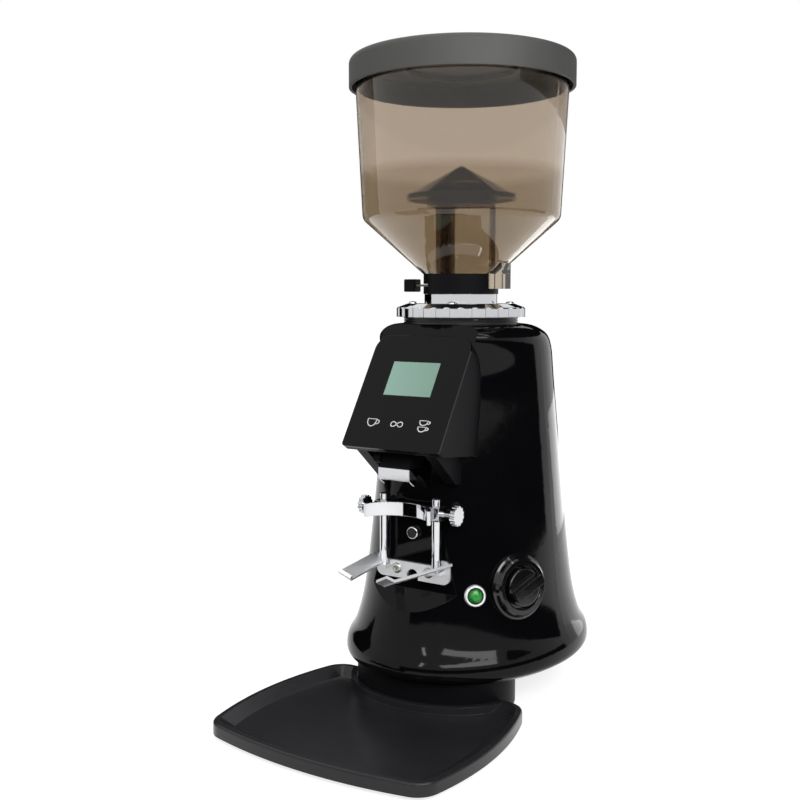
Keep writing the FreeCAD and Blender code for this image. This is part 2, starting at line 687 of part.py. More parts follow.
def tray_outline(inset, z):
    """Closed wire of the tray, drawn in by inset: bowed sides and front, straight back, rounded corners."""
    back = PEDESTAL_Y - TRAY_TAIL
    widest = PEDESTAL_Y - TRAY_WIDEST
    side_front = TRAY_HALF_WIDTH - TRAY_SIDE_BOW
    side_back = TRAY_HALF_WIDTH - TRAY_BACK_BOW
    corner_y = TRAY_FRONT + TRAY_FRONT_BOW
    back_left = V(-side_back, back, z)
    back_right = V(side_back, back, z)
    front_left = V(-side_front, corner_y, z)
    front_right = V(side_front, corner_y, z)
    edges = (Part.Arc(back_left, V(-TRAY_HALF_WIDTH, widest, z), front_left),
             Part.Arc(front_left, V(0, TRAY_FRONT, z), front_right),
             Part.Arc(front_right, V(TRAY_HALF_WIDTH, widest, z), back_right),
             Part.LineSegment(back_right, back_left))
    sharp = Part.Wire([edge.toShape() for edge in edges])
    return sharp.makeOffset2D(-TRAY_CORNER_R).makeOffset2D(TRAY_CORNER_R - inset)


def grounds_tray():
    tray = Part.Face(tray_outline(0.0, TRAY_BOTTOM)).extrude(V(0, 0, TRAY_TOP - TRAY_BOTTOM))
    tray = tray.makeFillet(TRAY_ROUND, [e for e in tray.Edges if e.BoundBox.ZMin > TRAY_TOP - 0.01])
    rim = tray_outline(TRAY_EDGE, TRAY_TOP)
    sole = tray_outline(TRAY_EDGE + TRAY_SLOPE, TRAY_BOTTOM + TRAY_FLOOR)
    dish = Part.makeLoft([rim, sole], True, True)
    return tray.cut(dish.cut(round_pedestal(TRAY_EDGE + TRAY_GAP))).cut(round_pedestal(TRAY_GAP))


def round_pedestal(gap):
    """The pedestal's outline grown by a gap, as high as the tray."""
    return oval_prism(PEDESTAL_HALF_WIDTH + gap, PEDESTAL_HALF_DEPTH + gap, PEDESTAL_Y, 0, TRAY_TOP + 1)


def tray_pads():
    front = TRAY_FRONT + TRAY_FRONT_BOW + TRAY_CORNER_R
    back = PEDESTAL_Y - TRAY_WIDEST / 2
    pads = []
    for side in SIDES:
        for share, y in ((0.55, front), (0.8, back)):
            pads.append(cylinder(TRAY_PAD_R, 0.0, TRAY_BOTTOM, side * TRAY_HALF_WIDTH * share, y))
    return Part.makeCompound(pads)


def neck_collar():
    collar = tube(NECK_R, THREAD_R + RUN, BODY_TOP, NECK_TOP)
    pitch = NECK_HEIGHT / 3
    for i in range(2):
        z = BODY_TOP + (i + 1) * pitch
        collar = collar.cut(tube(NECK_R + 1, NECK_R - NECK_GROOVE, z - pitch / 4, z + pitch / 4))
    collar = drill(collar, CHAMBER_SCREWS, CHAMBER_SCREW_R + SEAT, BODY_TOP - 1, NECK_TOP + 1)
    head_seat = NECK_TOP - CHAMBER_SCREW_R - SEAT
    return drill(collar, CHAMBER_SCREWS, 2 * CHAMBER_SCREW_R + SEAT, head_seat, NECK_TOP + 1)


def chamber_screws():
    top = NECK_TOP - CHAMBER_SCREW_R - SEAT
    tip = CEILING - CHAMBER_FLANGE
    return Part.makeCompound([screw(CHAMBER_SCREW_R, 2 * CHAMBER_SCREW_R, CHAMBER_SCREW_R, top, tip, x, y)
                              for x, y in CHAMBER_SCREWS])


def grinding_chamber():
    """Cup for the burrs: flanged to the body above and to the motor below, with an outlet at the front."""
    top = CEILING - SEAT
    cup = cylinder(CHAMBER_R, MOTOR_TOP, top)
    cup = cup.fuse(cylinder(CHAMBER_FLANGE_R, top - CHAMBER_FLANGE, top))
    cup = cup.fuse(cylinder(MOTOR_PLATE_R, MOTOR_TOP, MOTOR_TOP + CHAMBER_FLANGE))
    cup = cup.cut(cylinder(THREAD_R + RUN, THREAD_BOTTOM, top + 1))
    cup = cup.cut(cylinder(CAVITY_R, CHAMBER_FLOOR_TOP, THREAD_BOTTOM + 1))
    cup = cup.cut(cylinder(CAVITY_R, MOTOR_TOP - 1, CHAMBER_FLOOR_BOTTOM))
    cup = cup.cut(cylinder(SHAFT_R + 1, CHAMBER_FLOOR_BOTTOM - 1, CHAMBER_FLOOR_TOP + 1))
    cup = cup.cut(block(-OUTLET_HALF_WIDTH, OUTLET_HALF_WIDTH, -2 * CHAMBER_R, -CAVITY_R / 2,
                        CHAMBER_FLOOR_TOP, CHAMBER_FLOOR_TOP + OUTLET_HEIGHT))
    cup = drill(cup, CHAMBER_SCREWS, CHAMBER_SCREW_R + SEAT, top - CHAMBER_FLANGE - 1, top + 1)
    return drill(cup, TIE_BOLTS, TIE_BOLT_R + SEAT, MOTOR_TOP - 1, MOTOR_TOP + CHAMBER_FLANGE + 1)


def burr(bottom, face):
    """Flat burr with slanting cutting grooves in the face at the given height."""
    ring = tube(BURR_R, BURR_BORE_R, bottom, bottom + BURR_THICKNESS)
    inner = BURR_BORE_R - 1
    half = BURR_TOOTH / 2
    for i in range(BURR_TEETH):
        groove = block(inner, BURR_R + 1, -half, half, face - half, face + half)
        groove = groove.rotated(V(BURR_R, 0, 0), Z_AXIS, BURR_SLANT)
        ring = ring.cut(groove.rotated(V(0, 0, 0), Z_AXIS, 360.0 * i / BURR_TEETH))
    return ring


def lower_burr():
    ring = drill(burr(LOWER_BURR_BOTTOM, LOWER_BURR_TOP), BURR_SCREWS, BURR_SCREW_R + SEAT,
                 LOWER_BURR_BOTTOM - 1, LOWER_BURR_TOP + 1)
    head_seat = LOWER_BURR_TOP - 2 * BURR_SCREW_HEAD
    return drill(ring, BURR_SCREWS, 2 * BURR_SCREW_R, head_seat, LOWER_BURR_TOP + 1)


def upper_burr():
    ring = drill(burr(UPPER_BURR_BOTTOM, UPPER_BURR_BOTTOM), BURR_SCREWS, BURR_SCREW_R + SEAT,
                 UPPER_BURR_BOTTOM - 1, UPPER_BURR_TOP + 1)
    head_seat = UPPER_BURR_BOTTOM + 2 * BURR_SCREW_HEAD
    return drill(ring, BURR_SCREWS, 2 * BURR_SCREW_R, UPPER_BURR_BOTTOM - 1, head_seat)


def lower_burr_screws():
    top = LOWER_BURR_TOP - 2 * BURR_SCREW_HEAD
    tip = LOWER_BURR_BOTTOM - LOWER_CARRIER_T / 2
    return Part.makeCompound([screw(BURR_SCREW_R, 2 * BURR_SCREW_R - SEAT, BURR_SCREW_HEAD, top, tip, x, y)
                              for x, y in BURR_SCREWS])


def upper_burr_screws():
    foot = -UPPER_BURR_BOTTOM - 2 * BURR_SCREW_HEAD
    tip = -UPPER_BURR_TOP - THREAD_LIFT - 1
    head_r = 2 * BURR_SCREW_R - SEAT
    screws = [screw(BURR_SCREW_R, head_r, BURR_SCREW_HEAD, foot, tip, x, -y) for x, y in BURR_SCREWS]
    return Part.makeCompound([piece.rotated(V(0, 0, 0), X_AXIS, 180) for piece in screws])


def lower_burr_carrier():
    disc = cylinder(LOWER_CARRIER_R, LOWER_CARRIER_BOTTOM, LOWER_BURR_BOTTOM)
    disc = disc.cut(cylinder(SHAFT_R + RUN, LOWER_CARRIER_BOTTOM - 1, LOWER_BURR_BOTTOM + 1))
    for i in range(2):
        reach = CAVITY_R - 1
        vane = block(LOWER_CARRIER_R - 3, reach, -2, 2, LOWER_CARRIER_BOTTOM, LOWER_BURR_BOTTOM)
        disc = disc.fuse(vane.rotated(V(0, 0, 0), Z_AXIS, 180.0 * i + 45))
    return drill(disc, BURR_SCREWS, BURR_SCREW_R + SEAT, LOWER_CARRIER_BOTTOM + 1, LOWER_BURR_BOTTOM + 1)


def upper_burr_carrier():
    """Threaded holder of the upper burr; its top is the seat tube of the hopper."""
    bore = SEAT_R - SEAT_WALL
    funnel_top = UPPER_BURR_TOP + bore - BURR_BORE_R
    foot_r = CAVITY_R - 1
    outline = [(BURR_BORE_R, UPPER_BURR_TOP), (foot_r, UPPER_BURR_TOP), (foot_r, THREAD_BOTTOM + 1),
               (THREAD_R, THREAD_BOTTOM + 1), (THREAD_R, RING_FLANGE_Z), (RING_FLANGE_R, RING_FLANGE_Z),
               (RING_FLANGE_R, RING_Z), (SEAT_R, RING_Z), (SEAT_R, SEAT_TOP), (bore, SEAT_TOP),
               (bore, funnel_top), (BURR_BORE_R, UPPER_BURR_TOP + 1)]
    holder = drill(revolve(outline), BURR_SCREWS, BURR_SCREW_R + SEAT, UPPER_BURR_TOP - 1,
                   UPPER_BURR_TOP + THREAD_LIFT + 2)
    return drill(holder, RING_SCREWS, RING_SCREW_R + SEAT, RING_FLANGE_Z - 1, RING_Z + 1)


def adjusting_ring():
    """Scalloped ring whose top slopes up to the seat tube."""
    top = RING_Z + RING_T
    inner = SEAT_R + SEAT + 2 * RING_SCREW_R
    rim = top - RING_RISE
    ring = revolve([(inner, RING_Z), (RING_R, RING_Z), (RING_R, rim - 1), (RING_R - 1, rim),
                    (RING_SCREW_PITCH_R + 2 * RING_SCREW_R, top), (inner, top)])
    skirt = revolve([(RING_FLANGE_R + SEAT, RING_FLANGE_Z), (RING_R, RING_FLANGE_Z), (RING_R, RING_Z + 1),
                     (RING_FLANGE_R + SEAT, RING_Z + 1)])
    ring = ring.fuse(skirt)
    for x, y in around(RING_SCALLOPS, RING_R + RING_SCALLOP_R - RING_SCALLOP_DEPTH):
        ring = ring.cut(cylinder(RING_SCALLOP_R, RING_FLANGE_Z - 1, top + 1, x, y))
    return drill(ring, RING_SCREWS, RING_SCREW_R + SEAT, RING_Z - 1, top + 1)


def ring_screws():
    top = RING_Z + RING_T
    return Part.makeCompound([screw(RING_SCREW_R, 2 * RING_SCREW_R, RING_SCREW_R, top, RING_FLANGE_Z, x, y)
                              for x, y in RING_SCREWS])


def hopper_neck():
    """Black foot of the hopper: spigot in the seat tube, slot for the gate."""
    spigot_r = SEAT_R - SEAT_WALL - SLIP
    neck = cylinder(HOPPER_NECK_R, SEAT_TOP + SEAT, HOPPER_NECK_TOP)
    neck = neck.fuse(cylinder(spigot_r, SEAT_TOP - SPIGOT_DEPTH, SEAT_TOP + SEAT))
    neck = neck.cut(cylinder(THROAT_R, SEAT_TOP - SPIGOT_DEPTH - 1, HOPPER_NECK_TOP + 1))
    low = GATE_Z - GATE_T / 2 - SLIP
    high = GATE_Z + GATE_T / 2 + SLIP
    slot_r = GATE_R + SLIP
    slot = cylinder(slot_r, low, high)
    return neck.cut(slot.fuse(block(-HOPPER_NECK_R - 1, 0, -slot_r, slot_r, low, high)))


def hopper_bowl():
    """Round bowl on a cone, with a small closed pocket beside its neck."""
    lean = (BOWL_CORNER_R - HOPPER_NECK_R) / BOWL_CONE_HEIGHT
    skin = BOWL_WALL * math.sqrt(1 + lean * lean) / lean
    outer = revolve([(0, HOPPER_NECK_TOP), (HOPPER_NECK_R, HOPPER_NECK_TOP), (BOWL_CORNER_R, BOWL_CORNER_Z),
                     (BOWL_RIM_R, BOWL_TOP), (0, BOWL_TOP)])
    throat = HOPPER_NECK_R - BOWL_WALL
    corner = BOWL_CORNER_R - BOWL_WALL
    corner_z = HOPPER_NECK_TOP + skin + (corner - HOPPER_NECK_R) / lean
    rim = BOWL_RIM_R - BOWL_WALL
    inner = revolve([(0, HOPPER_NECK_TOP - 1), (throat, HOPPER_NECK_TOP - 1),
                     (throat, HOPPER_NECK_TOP + skin - BOWL_WALL / lean), (corner, corner_z),
                     (rim, BOWL_TOP), (rim, BOWL_TOP + 1), (0, BOWL_TOP + 1)])
    outer = outer.makeFillet(BOWL_CORNER_ROUND, ring_edges(outer, BOWL_CORNER_R))
    inner = inner.makeFillet(BOWL_CORNER_ROUND - BOWL_WALL, ring_edges(inner, corner))
    pocket = block(0, HOPPER_NECK_R + POCKET_LENGTH, -POCKET_HALF_WIDTH, POCKET_HALF_WIDTH,
                   SEAT_TOP + POCKET_LIFT, SEAT_TOP + POCKET_LIFT + POCKET_HEIGHT)
    pocket = pocket.cut(cylinder(HOPPER_NECK_R + SEAT, SEAT_TOP, HOPPER_NECK_TOP))
    return outer.fuse(pocket).cut(inner)


def ring_edges(shape, radius):
    """Round edges of a turned solid at one radius."""
    edges = [e for e in shape.Edges if hasattr(e.Curve, "Radius")]
    return [e for e in edges if abs(e.Curve.Radius - radius) < 1e-6]


def finger_guard():
    """Conical roof on legs over the throat of the hopper."""
    eaves = GUARD_EAVES_Z
    apex = eaves + GUARD_ROOF_HEIGHT
    lip = eaves - GUARD_LIP
    inner = GUARD_EAVES_R - GUARD_WALL
    roof = revolve([(0, apex), (GUARD_EAVES_R, eaves), (GUARD_EAVES_R, lip), (inner, lip),
                    (inner, eaves - GUARD_WALL), (0, apex - GUARD_WALL)])
    leg_r = GUARD_LEG_R - SEAT
    legs = tube(leg_r, leg_r - GUARD_LEG_T, HOPPER_NECK_TOP, eaves + GUARD_ROOF_HEIGHT)
    under = revolve([(0, HOPPER_NECK_TOP), (GUARD_EAVES_R, HOPPER_NECK_TOP),
                     (GUARD_EAVES_R, eaves - GUARD_WALL / 2), (0, apex - GUARD_WALL / 2)])
    legs = legs.common(under)
    window = 360.0 / GUARD_LEGS - GUARD_LEG_ANGLE
    height = GUARD_LEG_HEIGHT - 2 * GUARD_LIP
    for i in range(GUARD_LEGS):
        gap = Part.makeCylinder(GUARD_EAVES_R, height, V(0, 0, HOPPER_NECK_TOP - 1), Z_AXIS, window)
        start = GUARD_LEG_FIRST + GUARD_LEG_ANGLE / 2 + 360.0 * i / GUARD_LEGS
        legs = legs.cut(gap.rotated(V(0, 0, 0), Z_AXIS, start))
    return roof.fuse(legs)


def hopper_lid():
    """Cap with a rounded edge, a slightly domed top and a ring rib under its crown."""
    outer = cylinder(LID_R, LID_BOTTOM, LID_TOP)
    outer = outer.makeFillet(LID_EDGE, [e for e in outer.Edges if e.BoundBox.ZMin > LID_TOP - 0.01])
    dome_r = LID_R - LID_EDGE
    ball_r = (dome_r ** 2 + LID_DOME ** 2) / (2 * LID_DOME)
    ball = Part.makeSphere(ball_r, V(0, 0, LID_TOP + LID_DOME - ball_r))
    outer = outer.fuse(ball.common(cylinder(dome_r, LID_TOP - 1, LID_TOP + LID_DOME + 1)))
    lid = outer.cut(cylinder(LID_R - LID_WALL, LID_BOTTOM - 1, LID_CEILING))
    return lid.fuse(tube(LID_RIB_R, LID_RIB_R - LID_WALL, LID_CEILING - LID_RIB_HEIGHT, LID_CEILING + 1))


def gate_plate():
    low = GATE_Z - GATE_T / 2
    plate = cylinder(GATE_R, low, low + GATE_T)
    knob_inner = -HOPPER_NECK_R - GATE_STEM_REACH
    stem = GATE_STEM_HALF_WIDTH
    return plate.fuse(block(knob_inner - GATE_KNOB_LENGTH / 2, 0, -stem, stem, low, low + GATE_T))


def gate_knob():
    inner = -HOPPER_NECK_R - GATE_STEM_REACH
    half_width = GATE_KNOB_WIDTH / 2
    half_height = GATE_KNOB_HEIGHT / 2
    knob = block(inner - GATE_KNOB_LENGTH, inner, -half_width, half_width,
                 GATE_Z - half_height, GATE_Z + half_height)
    knob = knob.makeFillet(GATE_KNOB_WIDTH / 10, knob.Edges)
    stem = GATE_STEM_HALF_WIDTH + SEAT
    return knob.cut(block(inner - GATE_KNOB_LENGTH / 2 - SEAT, inner + 1, -stem, stem,
                          GATE_Z - GATE_T / 2 - SEAT, GATE_Z + GATE_T / 2 + SEAT))


def panel_slab(inset, back, front):
    """Slab with the outline of the glass, drawn in by inset: large upper corners, small lower ones."""
    slab = panel_block(PANEL_WIDTH / 2 - inset, inset, PANEL_LENGTH - inset, back, front)
    for low, radius in ((True, PANEL_FOOT_CORNER_R), (False, PANEL_CORNER_R - inset)):
        square = [e for e in slab.Edges if abs(e.tangentAt(e.FirstParameter).dot(PANEL_OUT)) > 0.999]
        middle = on_panel(0, PANEL_LENGTH / 2, (back + front) / 2).z
        slab = slab.makeFillet(radius, [e for e in square if (e.CenterOfMass.z < middle) == low])
    return slab


def housing_block(inset):
    """Wedge of the panel housing behind the glass, drawn in by inset and open at the back."""
    face = -GLASS_T - SEAT - inset
    foot = on_panel(0, 0, face)
    head = on_panel(0, PANEL_LENGTH, face)
    back = PANEL_FOOT_Y + HOUSING_DEPTH + abs(inset)
    front_z = PANEL_FOOT_Z - HOUSING_EDGE + inset
    outline = [(foot.y, front_z), (foot.y, foot.z), (head.y, head.z), (back, head.z),
               (back, PANEL_FOOT_Z - HOUSING_FALL + inset)]
    wedge = extrude_across(outline, -PANEL_WIDTH, PANEL_WIDTH)
    return wedge.common(panel_slab(inset, face - 2 * HOUSING_DEPTH, face))


def panel_front(depth):
    """Space in front of a plane that lies at a depth behind the glass and runs on above it."""
    face = -GLASS_T - SEAT - depth
    foot = on_panel(0, 0, face)
    head = on_panel(0, PANEL_LENGTH + PANEL_REACH, face)
    ahead = foot.y - PANEL_REACH
    outline = [(foot.y, foot.z), (head.y, head.z), (ahead, head.z), (ahead, foot.z)]
    half = PANEL_WIDTH / 2 + SEAT
    return extrude_across(outline, -half, half)


def chin_gussets():
    """Two wedges under the housing, one each side of the spout."""
    top = PANEL_FOOT_Z - HOUSING_EDGE + HOUSING_WALL / 2
    bottom = PANEL_FOOT_Z - CHIN_DROP
    outline = [(PANEL_FOOT_Y + CHIN_SET_BACK, top), (PANEL_FOOT_Y + CHIN_TIP, bottom),
               (PANEL_FOOT_Y + CHIN_BACK, bottom), (PANEL_FOOT_Y + CHIN_BACK, top)]
    wedges = [extrude_across(outline, side * CHIN_CHANNEL, side * CHIN_HALF_WIDTH) for side in SIDES]
    return wedges[0].fuse(wedges[1])


def board_corners():
    half = PANEL_WIDTH / 2 - BOARD_MARGIN - 3 * PANEL_SCREW_R
    low = BOARD_MARGIN + 3 * PANEL_SCREW_R
    return [(side * half, up) for side in SIDES for up in (low, PANEL_LENGTH - low)]


def panel_pin(radius, across, up, back, front):
    """Cylinder square to the panel, from back to front of its face."""
    return Part.makeCylinder(radius, front - back, on_panel(across, up, back), PANEL_OUT)


def panel_housing():
    shell = housing_block(0.0).fuse(chin_gussets().cut(bell(-SEAT, BODY_BOTTOM)))
    shell = shell.cut(housing_block(HOUSING_WALL))
    shell = shell.cut(cylinder(MOTOR_PLATE_R + CARRIER_CLEARANCE, MOTOR_BOTTOM, BODY_TOP))
    wall_back = BOARD_FRONT + BOARD_GAP
    for across, up in board_corners():
        shell = shell.fuse(panel_pin(2 * PANEL_SCREW_R + 1, across, up, BOARD_FRONT + SEAT, wall_back + 1))
        shell = shell.cut(panel_pin(PANEL_SCREW_R + SEAT, across, up, BOARD_FRONT - 1, wall_back))
    shell = shell.cut(display_block(LCD_RIM + SEAT, -2 * GLASS_T - HOUSING_WALL, 0.0))
    return shell.cut(chute_prism(SLIP, 0.0, 2 * CHUTE_DEPTH))


def display_block(grow, back, front):
    """Outline of the display, grown by a rim, from back to front of the panel's face."""
    return panel_block(LCD_WIDTH / 2 + grow, LCD_FOOT - grow, LCD_FOOT + LCD_HEIGHT + grow, back, front)


def touch_glass():
    """Glass front with a window for the display."""
    return panel_slab(0.0, -GLASS_T, 0.0).cut(display_block(SEAT, -2 * GLASS_T, 1.0))


def lcd_module():
    """Display with a raised pane that fills the window of the glass."""
    tray = display_block(LCD_RIM, BOARD_FRONT + SEAT, -GLASS_T - SEAT)
    return tray.fuse(display_block(0.0, BOARD_FRONT + BOARD_GAP, -SEAT))


def display_board():
    half = PANEL_WIDTH / 2 - BOARD_MARGIN
    board = panel_block(half, BOARD_MARGIN, PANEL_LENGTH - BOARD_MARGIN, BOARD_BACK, BOARD_FRONT)
    for across, up in board_corners():
        board = board.cut(panel_pin(PANEL_SCREW_R + SEAT, across, up, BOARD_BACK - 1, BOARD_FRONT + 1))
    return board


def panel_screws():
    screws = []
    for across, up in board_corners():
        shank = panel_pin(PANEL_SCREW_R, across, up, BOARD_BACK - 1, BOARD_FRONT + BOARD_GAP - SEAT)
        head_front = BOARD_BACK - SEAT
        head = panel_pin(2 * PANEL_SCREW_R, across, up, head_front - PANEL_SCREW_R, head_front)
        screws.append(shank.fuse(head))
    return Part.makeCompound(screws)


def spout_chute():
    """Inclined rectangular tube from the chamber's outlet to the nose."""
    bar = chute_prism(0.0, -CHUTE_DEPTH, CHUTE_DEPTH)
    bar = bar.cut(chute_prism(-CHUTE_WALL, -2 * CHUTE_DEPTH, 2 * CHUTE_DEPTH))
    bar = bar.cut(cylinder(CHAMBER_R + SEAT, 0, BODY_TOP))
    bar = bar.cut(cylinder(MOTOR_PLATE_R + SEAT, 0, MOTOR_TOP + CHAMBER_FLANGE + SEAT))
    wide = 4 * CHUTE_HALF_WIDTH
    bar = bar.cut(block(-wide, wide, CHUTE_END.y - wide, CHUTE_END.y + wide, CHUTE_END_Z - wide, CHUTE_END_Z))
    return bar.cut(Part.makeCylinder(SPOUT_SCREW_R + RUN, wide, SPOUT_SCREW_AT, -X_AXIS))


def nose_front():
    run = CHUTE_TOP - CHUTE_END
    return CHUTE_END.y - CHUTE_DEPTH / 2 * run.Length / run.z


def spout_nose():
    """Bright lip under the chute: a front plate with two sides, open below and behind."""
    front = nose_front()
    low = NOSE_TOP - NOSE_FRONT_HEIGHT
    tip = low - NOSE_DROP
    outline = [(front, NOSE_TOP), (front, low), (front + NOSE_DEPTH / 2, tip), (front + NOSE_DEPTH, NOSE_TOP)]
    lip = extrude_across(outline, -NOSE_HALF_WIDTH, NOSE_HALF_WIDTH)
    inner = NOSE_HALF_WIDTH - NOSE_WALL
    back = front + 2 * NOSE_DEPTH
    return lip.cut(block(-inner, inner, front + NOSE_WALL, back, tip - 1, NOSE_TOP + 1))


def knurled_head(radius, height, at, out):
    """Head of a thumb screw, with fine flutes along its edge."""
    head = cylinder(radius, 0, height)
    for x, y in around(THUMB_FLUTES, radius):
        head = head.cut(cylinder(radius / THUMB_FLUTE_SHARE, -1, height + 1, x, y))
    return along(head, at, out)


def spout_screw():
    """Small knurled thumb screw in the left side of the chute."""
    stand_off = SLIP + SPOUT_SCREW_R
    at = SPOUT_SCREW_AT - X_AXIS * CHUTE_HALF_WIDTH
    shank = Part.makeCylinder(SPOUT_SCREW_R, CHUTE_WALL + stand_off + 1, at + X_AXIS * CHUTE_WALL, -X_AXIS)
    return shank.fuse(knurled_head(SPOUT_SCREW_HEAD_R, SPOUT_SCREW_HEAD, at - X_AXIS * stand_off, -X_AXIS))


def prong(side):
    """Tilted strip with a turned-up tip, toed in from the edge of the fork plate."""
    half = PRONG_WIDTH / 2
    root = V(side * (FORK_HALF_WIDTH - half / 2), FLAT_Y - FORK_T / 2, FORK_BOTTOM + PRONG_LIFT)
    strip = block(-half, half, -PRONG_LENGTH, 0, -PRONG_T / 2, PRONG_T / 2)
    tip = block(-half, half, -PRONG_CURL, 0, -PRONG_T / 2, PRONG_T / 2)
    tip = tip.rotated(V(0, 0, 0), X_AXIS, -PRONG_CURL_ANGLE).translated(V(0, -PRONG_LENGTH + 1, 0))
    strip = strip.fuse(tip)
    strip = strip.rotated(V(0, 0, 0), Y_AXIS, -side * PRONG_TILT)
    strip = strip.rotated(V(0, 0, 0), Z_AXIS, -side * PRONG_TOE_IN)
    return strip.translated(root)


def fork_plate():
    """Plate on the body's flat with tabs for the rods and two prongs for the portafilter."""
    back = FLAT_Y - SEAT
    front = FLAT_Y - FORK_T
    plate = block(-FORK_HALF_WIDTH, FORK_HALF_WIDTH, front, back, FORK_BOTTOM, FORK_BOTTOM + FORK_HEIGHT)
    plate = plate.makeFillet(FORK_CORNER_R, [e for e in plate.Edges if e.BoundBox.YLength > FORK_T / 2])
    inner = FORK_HALF_WIDTH - FORK_EAR
    plate = plate.cut(block(-inner, inner, front - 1, back + 1, FORK_BOTTOM + FORK_WAIST,
                            FORK_BOTTOM + FORK_HEIGHT + 1))
    notch_z = FORK_BOTTOM + FORK_NOTCH_LIFT
    plate = plate.cut(block(-FORK_NOTCH_R, FORK_NOTCH_R, front - 1, back + 1, FORK_BOTTOM - 1, notch_z))
    plate = plate.cut(across_flat(FORK_NOTCH_R, 0, notch_z, -2 * FORK_T, 0))
    half = ROD_R + TAB_T / 2
    wide = 2 * FORK_HALF_WIDTH
    behind = block(-wide, wide, back, back + PRONG_LENGTH, BODY_BOTTOM, BODY_TOP)
    for side in SIDES:
        x = side * ROD_X
        tab = block(x - half, x + half, ROD_Y - half, front + 1, TAB_TOP - TAB_T, TAB_TOP)
        plate = plate.fuse(tab).fuse(prong(side).cut(behind))
    for side in SIDES:
        plate = plate.cut(across_flat(FORK_SCREW_R + SEAT, side * FORK_SCREW_X, FORK_SCREW_Z, -2 * FORK_T, 0))
        plate = plate.cut(cylinder(ROD_R + SEAT, TAB_TOP, ROD_TOP, side * ROD_X, ROD_Y))
    return plate


def fork_screws():
    head = FORK_SCREW_R
    screws = []
    for side in SIDES:
        x = side * FORK_SCREW_X
        shank = across_flat(FORK_SCREW_R, x, FORK_SCREW_Z, -FORK_T - head / 2, BODY_WALL + FORK_SCREW_R)
        screws.append(shank.fuse(across_flat(2 * FORK_SCREW_R, x, FORK_SCREW_Z, -FORK_T - head, -FORK_T)))
    return Part.makeCompound(screws)


def fork_rods():
    return Part.makeCompound([cylinder(ROD_R, TAB_TOP, ROD_TOP, side * ROD_X, ROD_Y) for side in SIDES])


def rest_bracket():
    """Half-round strip that guides the portafilter, clamped to the two rods by its lugs."""
    strip = tube(BRACKET_R, BRACKET_R - BRACKET_T, BRACKET_BOTTOM, BRACKET_TOP)
    low = BRACKET_BOTTOM - 1
    high = BRACKET_TOP + 1
    sector = Part.makeCylinder(BRACKET_R + 1, high - low, V(0, 0, low), Z_AXIS, BRACKET_SWEEP)
    strip = strip.common(sector.rotated(V(0, 0, 0), Z_AXIS, 90 - BRACKET_SWEEP / 2))
    strip = strip.translated(V(0, BRACKET_Y, 0))
    inside = cylinder(BRACKET_R - BRACKET_T, low, high, 0, BRACKET_Y)
    for side in SIDES:
        x = side * ROD_X
        lug = block(x - LUG_HALF, x + LUG_HALF, ROD_Y - LUG_HALF, ROD_Y + LUG_HALF,
                    BRACKET_BOTTOM, BRACKET_TOP)
        strip = strip.fuse(lug.cut(inside))
    for side in SIDES:
        strip = strip.cut(cylinder(ROD_R + RUN, low, high, side * ROD_X, ROD_Y))
        at = V(side * ROD_X, ROD_Y, THUMB_Z)
        strip = strip.cut(Part.makeCylinder(THUMB_R + RUN, 2 * LUG_HALF, at, X_AXIS * side))
    return strip


def thumb_screw(side):
    """Knurled screw that clamps the bracket to one rod."""
    out = X_AXIS * side
    tip = V(side * (ROD_X + ROD_R + SLIP), ROD_Y, THUMB_Z)
    length = LUG_HALF - ROD_R + THUMB_LENGTH
    shank = Part.makeCylinder(THUMB_R, length, tip, out)
    return shank.fuse(knurled_head(THUMB_HEAD_R, THUMB_HEAD, tip + out * (length - 1), out))


def thumb_screw_left():
    return thumb_screw(-1)


def thumb_screw_right():
    return thumb_screw(1)


def start_button():
    """Push button that the portafilter presses, flanged behind the wall so that it stays in."""
    inside = BODY_WALL + SLIP
    button = across_flat(BUTTON_R, 0, BUTTON_Z, -BUTTON_PROUD, inside + 1)
    face = [e for e in button.Edges if e.BoundBox.YMax < FLAT_Y - BUTTON_PROUD / 2]
    button = button.makeFillet(BUTTON_R / 5, face)
    return button.fuse(across_flat(BUTTON_R + BUTTON_FLANGE, 0, BUTTON_Z, inside, inside + BUTTON_FLANGE))


def microswitch():
    """Switch behind the start button, on a bent strap that bridges the button's flange."""
    y = FLAT_Y + BODY_WALL + 2 * SLIP + BUTTON_FLANGE + BUTTON_TRAVEL
    half = MICROSWITCH_SIZE / 2
    low = BUTTON_Z - half
    high = BUTTON_Z + half
    inner = BUTTON_R + BUTTON_FLANGE + 1
    outer = inner + STRAP_T
    strap = block(-outer, outer, FLAT_Y + BODY_WALL + SEAT, y + STRAP_T, low, high)
    strap = strap.cut(block(-inner, inner, FLAT_Y, y, low - 1, high + 1))
    return strap.fuse(block(-half, half, y, y + MICROSWITCH_SIZE, low, high))


def lamp_bezel():
    well = LAMP_LENS_R + SEAT
    rim = revolve([(0, -LAMP_DEPTH), (LAMP_BARREL_R, -LAMP_DEPTH), (LAMP_BARREL_R, 0), (LAMP_R, 0),
                   (LAMP_R, LAMP_RIM / 2), (LAMP_R - 1, LAMP_RIM), (well, LAMP_RIM), (well, LAMP_FLOOR),
                   (0, LAMP_FLOOR)])
    return on_boss(rim, "lamp")


def lamp_lens():
    ball_r = 1.2 * LAMP_LENS_R
    ball = Part.makeSphere(ball_r, V(0, 0, LAMP_LENS_TOP - ball_r))
    return on_boss(ball.common(cylinder(LAMP_LENS_R, LAMP_FLOOR + SEAT, LAMP_LENS_TOP + 1)), "lamp")


